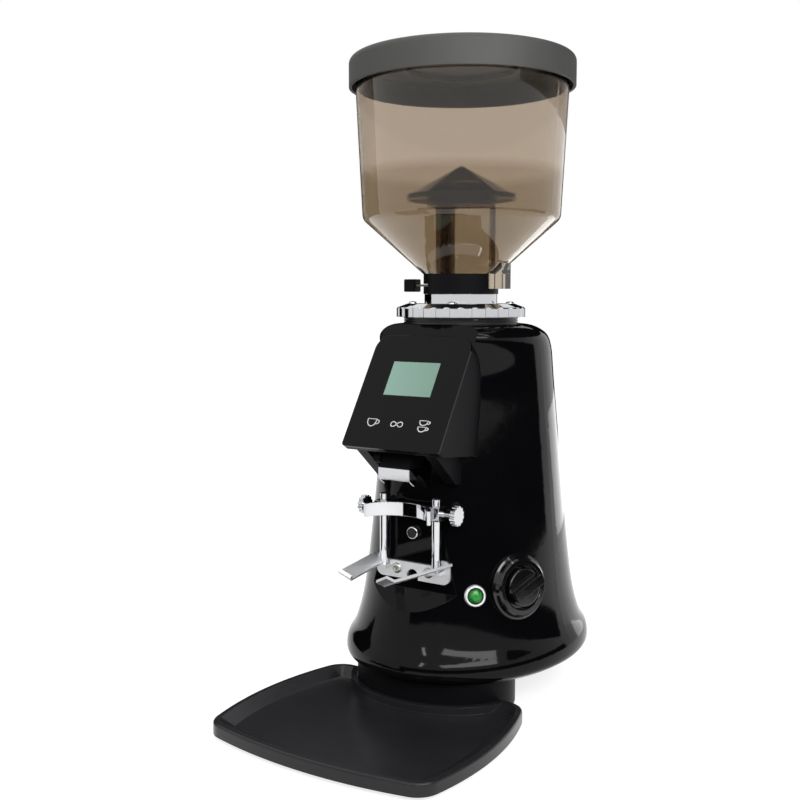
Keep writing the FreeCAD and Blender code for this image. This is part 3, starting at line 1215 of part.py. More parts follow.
def switch_bezel():
    """Dished ring around the power knob."""
    bore = SWITCH_BUSH_R + SEAT
    top = KNOB_BEZEL_HEIGHT
    dish = revolve([(bore, 0), (KNOB_FLANGE_R, 0), (KNOB_FLANGE_R, KNOB_FLOOR / 2),
                    (KNOB_BEZEL_R + KNOB_BEZEL_EDGE, KNOB_FLOOR), (KNOB_BEZEL_R, top - KNOB_BEZEL_EDGE),
                    (KNOB_BEZEL_R - KNOB_BEZEL_EDGE, top), (KNOB_BEZEL_BORE_R + 1, top),
                    (KNOB_BEZEL_BORE_R, top - 1), (KNOB_BEZEL_BORE_R, KNOB_FLOOR), (bore, KNOB_FLOOR)])
    return on_boss(dish, "knob")


def rotary_switch():
    front = -BODY_WALL - BOSS_PROUD - SWITCH_STAND_OFF
    body = cylinder(SWITCH_BODY_R, front - SWITCH_DEPTH, front)
    body = body.fuse(cylinder(SWITCH_BUSH_R, front - 1, KNOB_FLOOR))
    return on_boss(body.cut(cylinder(SWITCH_STEM_R + RUN, front - SWITCH_DEPTH / 2, KNOB_FLOOR + 1)), "knob")


def power_knob():
    """Round knob with a grip bar; its stem turns in the switch's bush."""
    low = KNOB_FLOOR + SLIP
    skirt = cylinder(KNOB_R, low, low + KNOB_HEIGHT / 2)
    skirt = skirt.makeFillet(KNOB_BEZEL_EDGE, [e for e in skirt.Edges if e.BoundBox.ZMin > low + 1])
    high = low + KNOB_HEIGHT
    bar = block(-KNOB_GRIP / 2, KNOB_GRIP / 2, -KNOB_R, KNOB_R, low + 1, high)
    bar = bar.common(cylinder(KNOB_R - SEAT, low, high))
    front = -BODY_WALL - BOSS_PROUD - SWITCH_STAND_OFF
    stem = cylinder(SWITCH_STEM_R, front - SWITCH_DEPTH / 2 + SLIP, low + 1)
    return on_boss(skirt.fuse(bar).fuse(stem), "knob")


def cable_gland():
    inner = -BODY_WALL - BOSS_PROUD - SWITCH_STAND_OFF
    body = cylinder(GLAND_R, 0, GLAND_LENGTH / 3).fuse(cylinder(GLAND_R - 2, 1, GLAND_LENGTH))
    body = body.fuse(cylinder(GLAND_THREAD_R, inner - 6, 1)).fuse(cylinder(GLAND_R - 1, inner - 4, inner))
    return on_boss(body.cut(cylinder(GLAND_BORE_R, inner - 7, GLAND_LENGTH + 1)), "gland")


def motor_plate(low, high, boss_low, boss_high, bearing_low, bearing_high):
    plate = cylinder(MOTOR_PLATE_R, low, high).fuse(cylinder(MOTOR_BOSS_R, boss_low, boss_high))
    plate = plate.cut(cylinder(BEARING_R + SEAT, bearing_low, bearing_high))
    plate = plate.cut(cylinder(SHAFT_R + 1, boss_low - 1, boss_high + 1))
    return drill(plate, TIE_BOLTS, TIE_BOLT_R + SEAT, low - 1, high + 1)


def motor_top_plate():
    top = MOTOR_TOP - SEAT
    return motor_plate(top - MOTOR_PLATE_T, top, top - MOTOR_BOSS_DEPTH, top,
                       top - MOTOR_BOSS_DEPTH - 1, UPPER_BEARING_TOP + SEAT)


def motor_bottom_plate():
    boss_top = MOTOR_BOTTOM + MOTOR_BOSS_DEPTH
    return motor_plate(MOTOR_BOTTOM, MOTOR_BOTTOM + MOTOR_PLATE_T, MOTOR_BOTTOM, boss_top,
                       LOWER_BEARING_BOTTOM - SEAT, boss_top + 1)


def motor_bearings():
    lows = (LOWER_BEARING_BOTTOM, UPPER_BEARING_TOP - BEARING_T)
    return Part.makeCompound([tube(BEARING_R, SHAFT_R + RUN, low, low + BEARING_T) for low in lows])


def motor_tie_bolts():
    head = 2 * TIE_BOLT_R
    bolts = []
    for x, y in TIE_BOLTS:
        shank = cylinder(TIE_BOLT_R, MOTOR_BOTTOM - 1, MOTOR_TOP + CHAMBER_FLANGE, x, y)
        bolts.append(shank.fuse(cylinder(head, MOTOR_BOTTOM - SEAT - TIE_BOLT_R, MOTOR_BOTTOM - SEAT, x, y)))
    return Part.makeCompound(bolts)


def stator_core():
    return tube(STATOR_R, ROTOR_R + AIR_GAP, STATOR_BOTTOM, STATOR_TOP)


def stator_windings():
    coils = []
    for low in (STATOR_BOTTOM - SEAT - WINDING_HEIGHT, STATOR_TOP + SEAT):
        coil = tube(WINDING_R, WINDING_BORE_R, low, low + WINDING_HEIGHT)
        coils.append(coil.makeFillet(WINDING_HEIGHT / 5, coil.Edges))
    return Part.makeCompound(coils)


def motor_shaft():
    return cylinder(SHAFT_R, MOTOR_BOTTOM - SHAFT_TAIL, LOWER_BURR_BOTTOM + NUT_T + 2)


def rotor_core():
    return tube(ROTOR_R, SHAFT_R + RUN, STATOR_BOTTOM, STATOR_TOP)


def cooling_fan():
    top = MOTOR_BOTTOM - 2 * TIE_BOLT_R
    fan = cylinder(FAN_HUB_R, top - FAN_T, top)
    for i in range(FAN_BLADES):
        blade = block(FAN_HUB_R - 1, FAN_R, -FAN_BLADE_T / 2, FAN_BLADE_T / 2, top - FAN_T, top)
        fan = fan.fuse(blade.rotated(V(0, 0, 0), Z_AXIS, 360.0 * i / FAN_BLADES))
    return fan.cut(cylinder(SHAFT_R + RUN, top - FAN_T - 1, top + 1))


def carrier_nut():
    points = [V(x, y, LOWER_BURR_BOTTOM) for x, y in around(6, NUT_R)]
    nut = polygon_face(points).extrude(V(0, 0, NUT_T))
    return nut.cut(cylinder(SHAFT_R + RUN, LOWER_BURR_BOTTOM - 1, LOWER_BURR_BOTTOM + NUT_T + 1))


def run_capacitor():
    can = cylinder(CAPACITOR_R, PAN_TOP, PAN_TOP + CAPACITOR_HEIGHT, 0, CAPACITOR_Y)
    return can.makeFillet(2.0, [e for e in can.Edges if e.BoundBox.ZMin > PAN_TOP + 1])


def board_places():
    width, depth = CONTROL_BOARD_SIZE
    half_width = width / 2 - STANDOFF_R
    half_depth = depth / 2 - STANDOFF_R
    return [(CONTROL_BOARD_X + a * half_width, CONTROL_BOARD_Y + b * half_depth) for a, b in SQUARE]


def board_standoffs():
    top = PAN_TOP + STANDOFF_HEIGHT
    return Part.makeCompound([cylinder(STANDOFF_R, PAN_TOP, top, x, y) for x, y in board_places()])


def control_board():
    """Board on standoffs with its transformer and a relay."""
    width, depth = CONTROL_BOARD_SIZE
    low = PAN_TOP + STANDOFF_HEIGHT
    x = CONTROL_BOARD_X
    y = CONTROL_BOARD_Y
    board = block(x - width / 2, x + width / 2, y - depth / 2, y + depth / 2, low, low + BOARD_T)
    transformer = block(x - width / 3, x + width / 6, y - depth / 3, y, low, low + TRANSFORMER_HEIGHT)
    relay = block(x - width / 4, x, y + depth / 8, y + depth / 3, low, low + TRANSFORMER_HEIGHT / 2)
    return board.fuse(transformer).fuse(relay)


NODES = (body_shell, base_pan, pedestal, rear_legs, rubber_feet, base_screws, grounds_tray, tray_pads,
         neck_collar, chamber_screws, grinding_chamber, lower_burr, upper_burr, lower_burr_screws,
         upper_burr_screws, lower_burr_carrier, upper_burr_carrier, adjusting_ring, ring_screws,
         hopper_neck, hopper_bowl, finger_guard, hopper_lid, gate_plate, gate_knob, panel_housing,
         touch_glass, lcd_module, display_board, panel_screws, spout_chute, spout_nose, spout_screw,
         fork_plate, fork_screws, fork_rods, rest_bracket, thumb_screw_left, thumb_screw_right,
         start_button, microswitch, lamp_bezel, lamp_lens, switch_bezel, rotary_switch, power_knob,
         cable_gland, motor_top_plate, motor_bottom_plate, motor_bearings, motor_tie_bolts, stator_core,
         stator_windings, motor_shaft, rotor_core, cooling_fan, carrier_nut, run_capacitor,
         board_standoffs, control_board)


def main():
    os.makedirs("parts", exist_ok=True)
    for node in NODES:
        node().exportStep("parts/" + node.__name__ + ".step")


if __name__ == "__main__":
    main()
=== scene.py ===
import json
import math

import bmesh
import bpy
from mathutils import Matrix, Vector

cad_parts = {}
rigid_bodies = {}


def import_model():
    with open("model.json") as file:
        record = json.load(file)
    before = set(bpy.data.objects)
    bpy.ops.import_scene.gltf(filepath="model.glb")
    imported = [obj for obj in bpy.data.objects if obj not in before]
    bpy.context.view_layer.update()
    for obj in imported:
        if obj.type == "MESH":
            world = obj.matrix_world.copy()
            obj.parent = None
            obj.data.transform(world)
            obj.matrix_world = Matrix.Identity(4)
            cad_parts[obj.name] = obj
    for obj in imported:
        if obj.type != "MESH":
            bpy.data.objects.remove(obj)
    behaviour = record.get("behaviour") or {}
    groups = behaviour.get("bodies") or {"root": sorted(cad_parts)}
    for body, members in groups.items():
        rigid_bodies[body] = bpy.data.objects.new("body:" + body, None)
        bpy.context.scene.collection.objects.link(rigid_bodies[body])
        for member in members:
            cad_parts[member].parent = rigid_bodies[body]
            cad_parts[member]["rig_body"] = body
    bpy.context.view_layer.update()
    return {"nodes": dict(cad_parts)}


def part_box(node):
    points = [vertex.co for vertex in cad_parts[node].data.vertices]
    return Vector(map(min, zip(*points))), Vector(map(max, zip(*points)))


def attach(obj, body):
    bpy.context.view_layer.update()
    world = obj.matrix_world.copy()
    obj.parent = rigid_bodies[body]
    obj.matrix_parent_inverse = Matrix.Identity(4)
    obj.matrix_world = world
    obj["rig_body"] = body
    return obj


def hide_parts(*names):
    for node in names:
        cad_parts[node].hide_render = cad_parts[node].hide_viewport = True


# On-demand burr coffee grinder: finishes, printed signs, screw heads, light and camera.
# Metres, +Z up, front towards -Y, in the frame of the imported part.
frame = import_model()
nodes = frame["nodes"]
MM = 0.001

# Camera, at the photograph's viewing angle
CAMERA_PLACE = (0.5096, -0.88265, 0.3819)
CAMERA_TURN = (84.3, 0.0, 33.3)  # degrees
LENS_MM = 47.21

# Control panel: how the glass leans and how thick it is, as built
PANEL_TILT = math.radians(32.6)
GLASS_T = 2.5 * MM
LCD_TILT = PANEL_TILT - math.pi / 2  # turns the slope of the panel into a pattern's Y axis

# Printed signs, in millimetres on the glass
SIGN_UP = 25.0
SIGN_SPACING = 27.0
SIGN_STROKE = 1.0
SIGN_HEIGHT = 0.12
CUP_SIZE = (9.4, 7.2)
CUP_HANDLE = 3.6
LOOP_SIZE = (12.4, 13.4)
SMALL_CUP_SIZE = (8.2, 4.6)
SMALL_CUP_HANDLE = 3.0
SMALL_CUP_LIFT = 3.1

# How the signs are drawn: steps along each line, how round a cup's bowl is, and, as shares of the cup,
# where its handle starts, how high the handle is and how far it sits below the rim
CUP_STEPS = 24
GRIP_STEPS = 12
LOOP_STEPS = 48
CUP_ROUND = 0.8
GRIP_START = 0.9
GRIP_HEIGHT = 0.3
GRIP_DROP = 0.38

# Button-head screw: the shank's radius and the head's thickness as a share of the head's radius, then
# the head's rings: share of its radius, depth as a share of its thickness, and flats of the socket
SHANK_SHARE = 0.5
SCREW_HEAD = (
    (1.0, 1.0, 0), (1.0, 0.72, 0), (0.94, 0.44, 0), (0.8, 0.18, 0), (0.62, 0.0, 0),
    (0.4, 0.0, 6), (0.38, 0.06, 6), (0.36, 0.6, 6),
)
LATHE_TURNS = 48

# Button pad: its share of the button's radius, how far it stands out, and its rings as shares of both
PAD_SHARE = 0.5
PAD_PROUD = 0.25 * MM
PAD_RINGS = ((1.0, -1.0), (1.0, 0.6), (0.94, 1.0), (0.8, 1.0), (0.6, 0.5), (0.2, 0.3))

# Meshes: how close corners are to count as one, and the angle from which an edge is sharp
WELD = 0.001 * MM
SHARP_ANGLE = math.radians(30)

# Softened edges of the moulded and machined pieces
EDGE_SOFT = 0.7 * MM
EDGE_SAMPLES = 4

# Pilot lamp: the lens is brightest up to the first distance from its middle, and dark from the second
LENS_BRIGHT = 2.0 * MM
LENS_DARK = 7.0 * MM

# Hopper: how far up the painted shade of its lower part reaches, and over what height that painted shade
# fades out
SHADE_SHARE = 0.52
SHADE_FADE = 5.0 * MM

# Stage: half the floor's width, the floor's own brightness and the fill that the surroundings give
FLOOR_HALF = 9.0
FLOOR_GLOW = 0.78
WORLD_FILL = 0.62
CARD_STEP = 5  # degrees between the uprights of a card
# Each dark card goes from one direction to another, in degrees round the object from +X, and
# has an inner or lower edge and an outer or upper edge, each a distance and a height
CARDS = (
    (-110, 50, (1.3, 0.001), (1.3, 0.32)),    # low in front
    (-145, -100, (0.4, 0.002), (1.3, 0.002)),  # on the floor before the fork
    (95, 195, (1.3, 0.09), (1.3, 0.85)),      # behind the tray
    (0, 95, (1.3, 0.7), (1.3, 2.4)),          # over the right shoulder
)

# Area lamps: place, target, size, power in watts and whether gloss mirrors the lamp
MIDDLE = (0.0, 0.0, 0.3)
LAMPS = {
    "window": ((1.02, -0.80, 0.98), MIDDLE, (1.4, 0.4), 14.0, True),
    "narrow_window": ((0.02, -1.3, 0.95), MIDDLE, (0.08, 0.5), 1.6, True),
    "rim_strip": ((0.13, 0.9, 0.12), (0.05, 0.0, 0.15), (0.5, 0.22), 0.6, True),
    "ceiling_strip": ((0.5, 0.0, 1.7), (0.1, 0.0, 0.15), (0.08, 2.2), 5.0, True),
    "key_softbox": ((-0.9, -1.6, 1.7), MIDDLE, (1.2, 1.2), 6.0, False),
    "side_softbox": ((1.8, -0.4, 1.2), MIDDLE, (1.0, 1.4), 4.0, False),
    "back_softbox": ((-0.3, 1.9, 1.4), MIDDLE, (1.4, 1.0), 16.0, False),
}


def srgb(code):
    """An sRGB hex colour as linear red, green and blue, with an alpha of 1."""
    parts = [int(code[i:i + 2], 16) / 255 for i in (1, 3, 5)]
    linear = [p / 12.92 if p <= 0.04045 else ((p + 0.055) / 1.055) ** 2.4 for p in parts]
    return (*linear, 1.0)


def linked(name, data):
    """A new object in the scene."""
    made = bpy.data.objects.new(name, data)
    bpy.context.scene.collection.objects.link(made)
    return made


def feed(tree, node, inputs):
    """Gives a node's sockets their values, or the outputs that feed them."""
    for socket, value in inputs.items():
        if isinstance(value, bpy.types.NodeSocket):
            tree.links.new(value, node.inputs[socket])
        else:
            node.inputs[socket].default_value = value
    return node


def add(tree, kind, inputs=None, **settings):
    """Adds one shader node with its settings and links."""
    node = tree.nodes.new("ShaderNode" + kind)
    for name, value in settings.items():
        setattr(node, name, value)
    return feed(tree, node, inputs or {})


def blank(name):
    """A new material, with its node tree and its shader."""
    material = bpy.data.materials.new(name)
    material.use_nodes = True
    tree = material.node_tree
    return material, tree, tree.nodes["Principled BSDF"]


def pattern(tree, kind, size, squeeze=(1, 1, 1), turn=(0, 0, 0), **settings):
    """A texture with features about size millimetres across on the object."""
    place = add(tree, "TexCoord").outputs["Object"]
    scale = [s / (size * MM) for s in squeeze]
    mapped = add(tree, "Mapping", {"Vector": place, "Scale": scale, "Rotation": turn})
    return add(tree, kind, {"Vector": mapped.outputs[0], "Scale": 1.0}, **settings)


def coat(tree, shader, tint, colours, grain, rough, relief, depth, **shader_values):
    """Gives a shader two colours mixed by tint, gloss that follows a grain and height that follows a relief.

    colours and rough are the two ends of each range; depth is in millimetres.
    """
    first, last = (srgb(c) for c in colours)
    colour = add(tree, "MixRGB", {"Fac": tint, "Color1": first, "Color2": last})
    gloss = add(tree, "MapRange", {"Value": grain, "To Min": rough[0], "To Max": rough[1]})
    bump = add(tree, "Bump", {"Height": relief, "Distance": depth * MM, "Strength": 1.0})
    feed(tree, shader, {"Base Color": colour.outputs[0], "Roughness": gloss.outputs[0],
                        "Normal": bump.outputs[0], **shader_values})
    return colour.outputs[0], bump


def surface(name, colours, rough, grain, depth, squeeze=(1, 1, 1), cloud=40.0, **shader_values):
    """A finish whose colour drifts over cloud millimetres, and whose gloss and height follow a grain.

    colours and rough are the two ends of each range; grain and depth are in millimetres.
    """
    material, tree, shader = blank(name)
    fine = pattern(tree, "TexNoise", grain, squeeze).outputs["Fac"]
    broad = pattern(tree, "TexNoise", cloud).outputs["Fac"]
    bump = coat(tree, shader, broad, colours, fine, rough, fine, depth, **shader_values)[1]
    soft_edge = add(tree, "Bevel", {"Radius": EDGE_SOFT}, samples=EDGE_SAMPLES)
    feed(tree, bump, {"Normal": soft_edge.outputs[0]})
    return material


def stove_lacquer():
    # Black stoving lacquer sprayed on cast aluminium: deep gloss with a faint orange peel.
    return surface("stove_lacquer", ("#050506", "#09090b"), (0.05, 0.11), 5.0, 0.012, IOR=1.24)


def anodised_aluminium():
    # Black anodised aluminium, turned: dark satin with fine level tool lines.
    return surface("anodised_aluminium", ("#08080a", "#101013"), (0.26, 0.4), 1.2, 0.02, (0.2, 0.2, 3.0),
                   IOR=1.5)


def satin_abs():
    # Moulded black ABS with a spark-eroded grain: soft, broad highlights.
    # The grain of about 0.3 mm is drawn at 0.9 mm so that it shows.
    return surface("satin_abs", ("#09090b", "#101013"), (0.3, 0.46), 0.9, 0.018, IOR=1.16)


def polished_abs():
    # Moulded black ABS from a polished tool: gloss that is broken by slight sink marks.
    return surface("polished_abs", ("#070708", "#0d0d0f"), (0.06, 0.13), 9.0, 0.03, IOR=1.5)


def tray_abs():
    # Semi-gloss black ABS of the grounds tray, rubbed by years of wiping.
    return surface("tray_abs", ("#18181a", "#212124"), (0.2, 0.3), 1.6, 0.004, IOR=1.36)


def lid_polypropylene():
    # Moulded charcoal polypropylene: matte, with a fine leathery grain.
    return surface("lid_polypropylene", ("#373736", "#41413f"), (0.5, 0.66), 0.9, 0.02, IOR=1.49)


def powder_coated_steel():
    # Sheet steel under black powder coat: low gloss with a pebbled skin.
    return surface("powder_coated_steel", ("#0b0b0c", "#131314"), (0.42, 0.6), 1.4, 0.05, IOR=1.5)


def moulded_rubber():
    # Black rubber: dull, slightly dusty, with a coarse moulded skin.
    return surface("moulded_rubber", ("#0f0f10", "#1c1c1d"), (0.7, 0.9), 0.8, 0.03, IOR=1.52)


def polished_chrome():
    # Chrome plate on polished steel: mirror bright, with hair lines from wiping.
    # The hair lines of a few hundredths of a millimetre are drawn at 0.5 mm so that they show.
    return surface("polished_chrome", ("#c2c3c6", "#d3d4d6"), (0.03, 0.09), 0.5, 0.0008, (0.1, 0.1, 1.0),
                   Metallic=1.0)


def satin_chrome():
    # Chrome plate on ground sheet steel: a soft shine that takes in light from all round.
    return surface("satin_chrome", ("#e6e7e9", "#f4f5f6"), (0.42, 0.56), 0.6, 0.002, (1.0, 0.1, 1.0),
                   Metallic=1.0)


def zinc_plated_steel():
    # Zinc plated steel: pale grey with a slight blue and yellow cast.
    return surface("zinc_plated_steel", ("#a9abae", "#bfbdb4"), (0.24, 0.4), 1.0, 0.006, cloud=6.0,
                   Metallic=1.0)


def hardened_steel():
    # Ground tool steel of the burrs: grey, with grinding lines.
    return surface("hardened_steel", ("#7f8184", "#96989a"), (0.2, 0.34), 0.6, 0.01, (1.0, 0.1, 1.0),
                   Metallic=1.0)


def brushed_stainless():
    # Rolled stainless sheet of the gate, brushed along its length and dulled by coffee oil.
    return surface("brushed_stainless", ("#54514d", "#6e6a65"), (0.3, 0.46), 0.5, 0.006,
                   (0.05, 1.0, 1.0), Metallic=1.0)


def cast_aluminium():
    # Die-cast aluminium, shot blasted: pale grey and evenly dull.
    return surface("cast_aluminium", ("#9b9c9e", "#b3b4b5"), (0.42, 0.6), 1.2, 0.05, Metallic=1.0)


def turned_brass():
    # Free-cutting brass, turned, with a little tarnish.
    return surface("turned_brass", ("#b08d45", "#c9a75c"), (0.2, 0.36), 0.6, 0.006, (0.2, 0.2, 1.0),
                   cloud=5.0, Metallic=1.0)


def electrical_steel():
    # Stack of punched laminations: level lines, drawn 0.9 mm apart so that they show.
    material, tree, shader = blank("electrical_steel")
    sheets = pattern(tree, "TexWave", 5.6, bands_direction="Z").outputs["Fac"]
    rust = pattern(tree, "TexNoise", 9.0).outputs["Fac"]
    coat(tree, shader, rust, ("#4a4a4c", "#5f5d5a"), rust, (0.35, 0.55), sheets, 0.06, Metallic=1.0)
    return material


def enamelled_copper():
    # Enamelled copper wire in bundles: amber red, with the round of each wire in its height, painted shade
    # in the dips between turns and a painted highlight on each crown.
    material, tree, shader = blank("enamelled_copper")
    wire_relief_and_shade = pattern(tree, "TexWave", 7.0, bands_direction="DIAGONAL", wave_type="BANDS").outputs["Fac"]
    # Painted shade and highlight: the colour follows the same bands as the height, dark in the dips and
    # bright on the crowns.
    coat(tree, shader, wire_relief_and_shade, ("#5c2412", "#b4602f"), wire_relief_and_shade, (0.24, 0.4), wire_relief_and_shade, 0.3, Metallic=1.0)
    return material


def solder_masked_board():
    # Glass-fibre board under green solder mask: dark green with paler copper tracks below.
    material, tree, shader = blank("solder_masked_board")
    tracks = pattern(tree, "TexVoronoi", 4.0, distance="CHEBYCHEV").outputs["Distance"]
    coat(tree, shader, tracks, ("#0f3d22", "#1f6a38"), tracks, (0.22, 0.4), tracks, 0.05)
    return material


def drawn_aluminium_can():
    # Deep-drawn aluminium can of the capacitor: lengthwise drawing marks.
    return surface("drawn_aluminium_can", ("#a7a8ab", "#bcbdbf"), (0.26, 0.4), 0.9, 0.01,
                   (1.0, 1.0, 0.08), Metallic=1.0)


def smoked_polycarbonate(name="smoked_polycarbonate", colours=("#b2a490", "#d0c5b8")):
    # Smoked polycarbonate: clear brown-grey with upright flow lines, darker in the lower part, which is
    # painted shade.
    material, tree, shader = blank(name)
    low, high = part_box("hopper_bowl")
    place = add(tree, "TexCoord").outputs["Object"]
    height = add(tree, "SeparateXYZ", {"Vector": place}).outputs["Z"]
    # Painted shade: below this height the colour turns darker, over a short fade.
    shade_top = low.z + SHADE_SHARE * (high.z - low.z)
    above_shade = add(tree, "MapRange", {"Value": height, "From Min": shade_top - SHADE_FADE,
                                  "From Max": shade_top + SHADE_FADE})
    flow = pattern(tree, "TexNoise", 14.0, (1.0, 1.0, 0.06)).outputs["Fac"]
    coat(tree, shader, above_shade.outputs[0], colours, flow, (0.015, 0.05), flow, 0.06, IOR=1.45)
    feed(tree, shader, {"Transmission Weight": 1.0})
    return material


def smoked_styrene():
    # Smoked polystyrene of the finger guard: the hopper's brown-grey drawn darker, on the hopper's
    # painted-shade height ramp, which makes it a little darker above.
    return smoked_polycarbonate("smoked_styrene", ("#7a6c5c", "#6e6153"))


def back_printed_glass():
    # Tempered glass printed black on its back: the deepest, flattest gloss of the front.
    return surface("back_printed_glass", ("#040405", "#060608"), (0.03, 0.07), 30.0, 0.01, IOR=1.25)


def lcd_film():
    # Display under its polariser film: pale green-grey, lighter to the left as painted light, with a dot
    # grid.
    # The dots are drawn 0.9 mm apart so that they show.
    material, tree, shader = blank("lcd_film")
    low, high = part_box("lcd_module")
    dots = pattern(tree, "TexBrick", 0.9, turn=(LCD_TILT, 0, 0), offset=0.0)
    feed(tree, dots, {"Color1": srgb("#ffffff"), "Color2": srgb("#ffffff"), "Mortar": srgb("#e6ece8"),
                      "Mortar Size": 0.08, "Brick Width": 1.0, "Row Height": 1.0})
    place = add(tree, "TexCoord").outputs["Object"]
    across = add(tree, "SeparateXYZ", {"Vector": place}).outputs["X"]
    # Painted light: the field is lighter towards the left.
    glow = add(tree, "MapRange", {"Value": across, "From Min": low.x, "From Max": high.x})
    field = add(tree, "MixRGB", {"Fac": glow.outputs[0], "Color1": srgb("#82a296"),
                                 "Color2": srgb("#749083")})
    colour = add(tree, "MixRGB", {"Fac": 1.0, "Color1": field.outputs[0],
                                  "Color2": dots.outputs["Color"]}, blend_type="MULTIPLY")
    haze = pattern(tree, "TexNoise", 3.0).outputs["Fac"]
    gloss = add(tree, "MapRange", {"Value": haze, "To Min": 0.25, "To Max": 0.4})
    feed(tree, shader, {"Base Color": colour.outputs[0], "Roughness": gloss.outputs[0], "IOR": 1.45})
    return material


def lamp_acrylic():
    # Green acrylic lens over a lit lamp: bright at the middle, dark at the rim, with small facets.
    material, tree, shader = blank("lamp_acrylic")
    low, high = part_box("lamp_lens")
    middle = (low + high) / 2
    place = add(tree, "TexCoord").outputs["Object"]
    away = add(tree, "VectorMath", {0: place, 1: middle}, operation="DISTANCE").outputs["Value"]
    rim = add(tree, "MapRange", {"Value": away, "From Min": LENS_BRIGHT, "From Max": LENS_DARK})
    facets = pattern(tree, "TexVoronoi", 2.4).outputs["Distance"]
    colour = coat(tree, shader, rim.outputs[0], ("#12a52c", "#032b08"), facets, (0.08, 0.2), facets, 0.5,
                  IOR=1.49)[0]
    feed(tree, shader, {"Emission Color": colour, "Emission Strength": 0.25})
    return material


def screen_print():
    # White screen-printing ink on glass: flat white with a dry, slightly uneven skin.
    return surface("screen_print", ("#bcbec0", "#d2d3d3"), (0.45, 0.6), 0.4, 0.008, cloud=4.0, IOR=1.5)


def dress_nodes():
    """Gives every CAD node its finish, and returns the finishes by name."""
    wear = {
        stove_lacquer: ["body_shell"],
        powder_coated_steel: ["base_pan"],
        satin_abs: ["pedestal", "rear_legs", "panel_housing", "spout_chute", "hopper_neck", "gate_knob",
                    "spout_screw", "microswitch", "cable_gland", "cooling_fan", "rotary_switch"],
        polished_abs: ["switch_bezel", "power_knob"],
        tray_abs: ["grounds_tray"],
        lid_polypropylene: ["hopper_lid"],
        anodised_aluminium: ["neck_collar"],
        moulded_rubber: ["rubber_feet", "tray_pads"],
        polished_chrome: ["adjusting_ring", "ring_screws", "upper_burr_carrier", "spout_nose",
                          "fork_rods", "rest_bracket", "thumb_screw_left", "thumb_screw_right",
                          "start_button"],
        satin_chrome: ["fork_plate", "lamp_bezel"],
        zinc_plated_steel: ["base_screws", "chamber_screws", "lower_burr_screws", "upper_burr_screws",
                            "panel_screws", "fork_screws", "motor_tie_bolts", "motor_bearings",
                            "motor_shaft"],
        hardened_steel: ["lower_burr", "upper_burr"],
        brushed_stainless: ["gate_plate"],
        cast_aluminium: ["grinding_chamber", "lower_burr_carrier", "motor_top_plate",
                         "motor_bottom_plate"],
        turned_brass: ["carrier_nut", "board_standoffs"],
        electrical_steel: ["stator_core", "rotor_core"],
        enamelled_copper: ["stator_windings"],
        solder_masked_board: ["display_board", "control_board"],
        drawn_aluminium_can: ["run_capacitor"],
        smoked_polycarbonate: ["hopper_bowl"],
        smoked_styrene: ["finger_guard"],
        back_printed_glass: ["touch_glass"],
        lcd_film: ["lcd_module"],
        lamp_acrylic: ["lamp_lens"],
    }
    finishes = {}
    for make, names in wear.items():
        finish = make()
        finishes[finish.name] = finish
        for name in names:
            slots = nodes[name].data.materials
            slots.clear()
            slots.append(finish)
    return finishes


def piece(name, mesh, finish, body):
    """Puts a finished mesh on the object as one piece that moves with a body."""
    data = bpy.data.meshes.new(name)
    bmesh.ops.recalc_face_normals(mesh, faces=mesh.faces)
    mesh.to_mesh(data)
    mesh.free()
    data.shade_smooth()
    data.set_sharp_from_angle(angle=SHARP_ANGLE)
    data.materials.append(finish)
    made = linked(name, data)
    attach(made, body)
    return made


def stroke(mesh, points, width, height, closed):
    """Adds a flat inked line of even width along points in the XY plane, from Z 0 to height."""
    count = len(points)
    rows = []
    for i, point in enumerate(points):
        before = points[i - 1] if closed or i else point
        after = points[(i + 1) % count] if closed or i < count - 1 else point
        along = (after - point).normalized() + (point - before).normalized()
        along.normalize()
        side = Vector((-along.y, along.x)) * width / 2
        left, right = point + side, point - side
        corners = ((left, 0.0), (right, 0.0), (right, height), (left, height))
        rows.append([mesh.verts.new((place.x, place.y, z)) for place, z in corners])
    for i in range(count if closed else count - 1):
        here, there = rows[i], rows[(i + 1) % count]
        for k in range(4):
            mesh.faces.new((here[k], here[(k + 1) % 4], there[(k + 1) % 4], there[k]))
    if not closed:
        mesh.faces.new(rows[0])
        mesh.faces.new(rows[-1][::-1])


def cup_lines(centre, size, handle):
    """The bowl of a cup seen from the side, and its handle, as two lines."""
    half, height = size[0] / 2, size[1]
    rim = centre + Vector((0, height / 2))
    bowl = []
    for i in range(CUP_STEPS + 1):
        angle = math.pi * i / CUP_STEPS
        bowl.append(rim + Vector((-half * math.cos(angle), -height * math.sin(angle) ** CUP_ROUND)))
    grip = []
    for i in range(GRIP_STEPS + 1):
        angle = math.pi * (i / GRIP_STEPS - 0.5)
        grip.append(rim + Vector((half * GRIP_START + handle * math.cos(angle),
                                  height * (GRIP_HEIGHT * math.sin(angle) - GRIP_DROP))))
    return [(bowl, True), (grip, False)]


def loop_lines(centre, size):
    """A figure eight on its side, as one closed line."""
    line = []
    for i in range(LOOP_STEPS):
        angle = 2 * math.pi * i / LOOP_STEPS
        spread = 1 + math.sin(angle) ** 2
        line.append(centre + Vector((size[0] / 2 * math.cos(angle) / spread,
                                     size[1] / 2 * math.sin(angle) * math.cos(angle) / spread)))
    return [(line, True)]


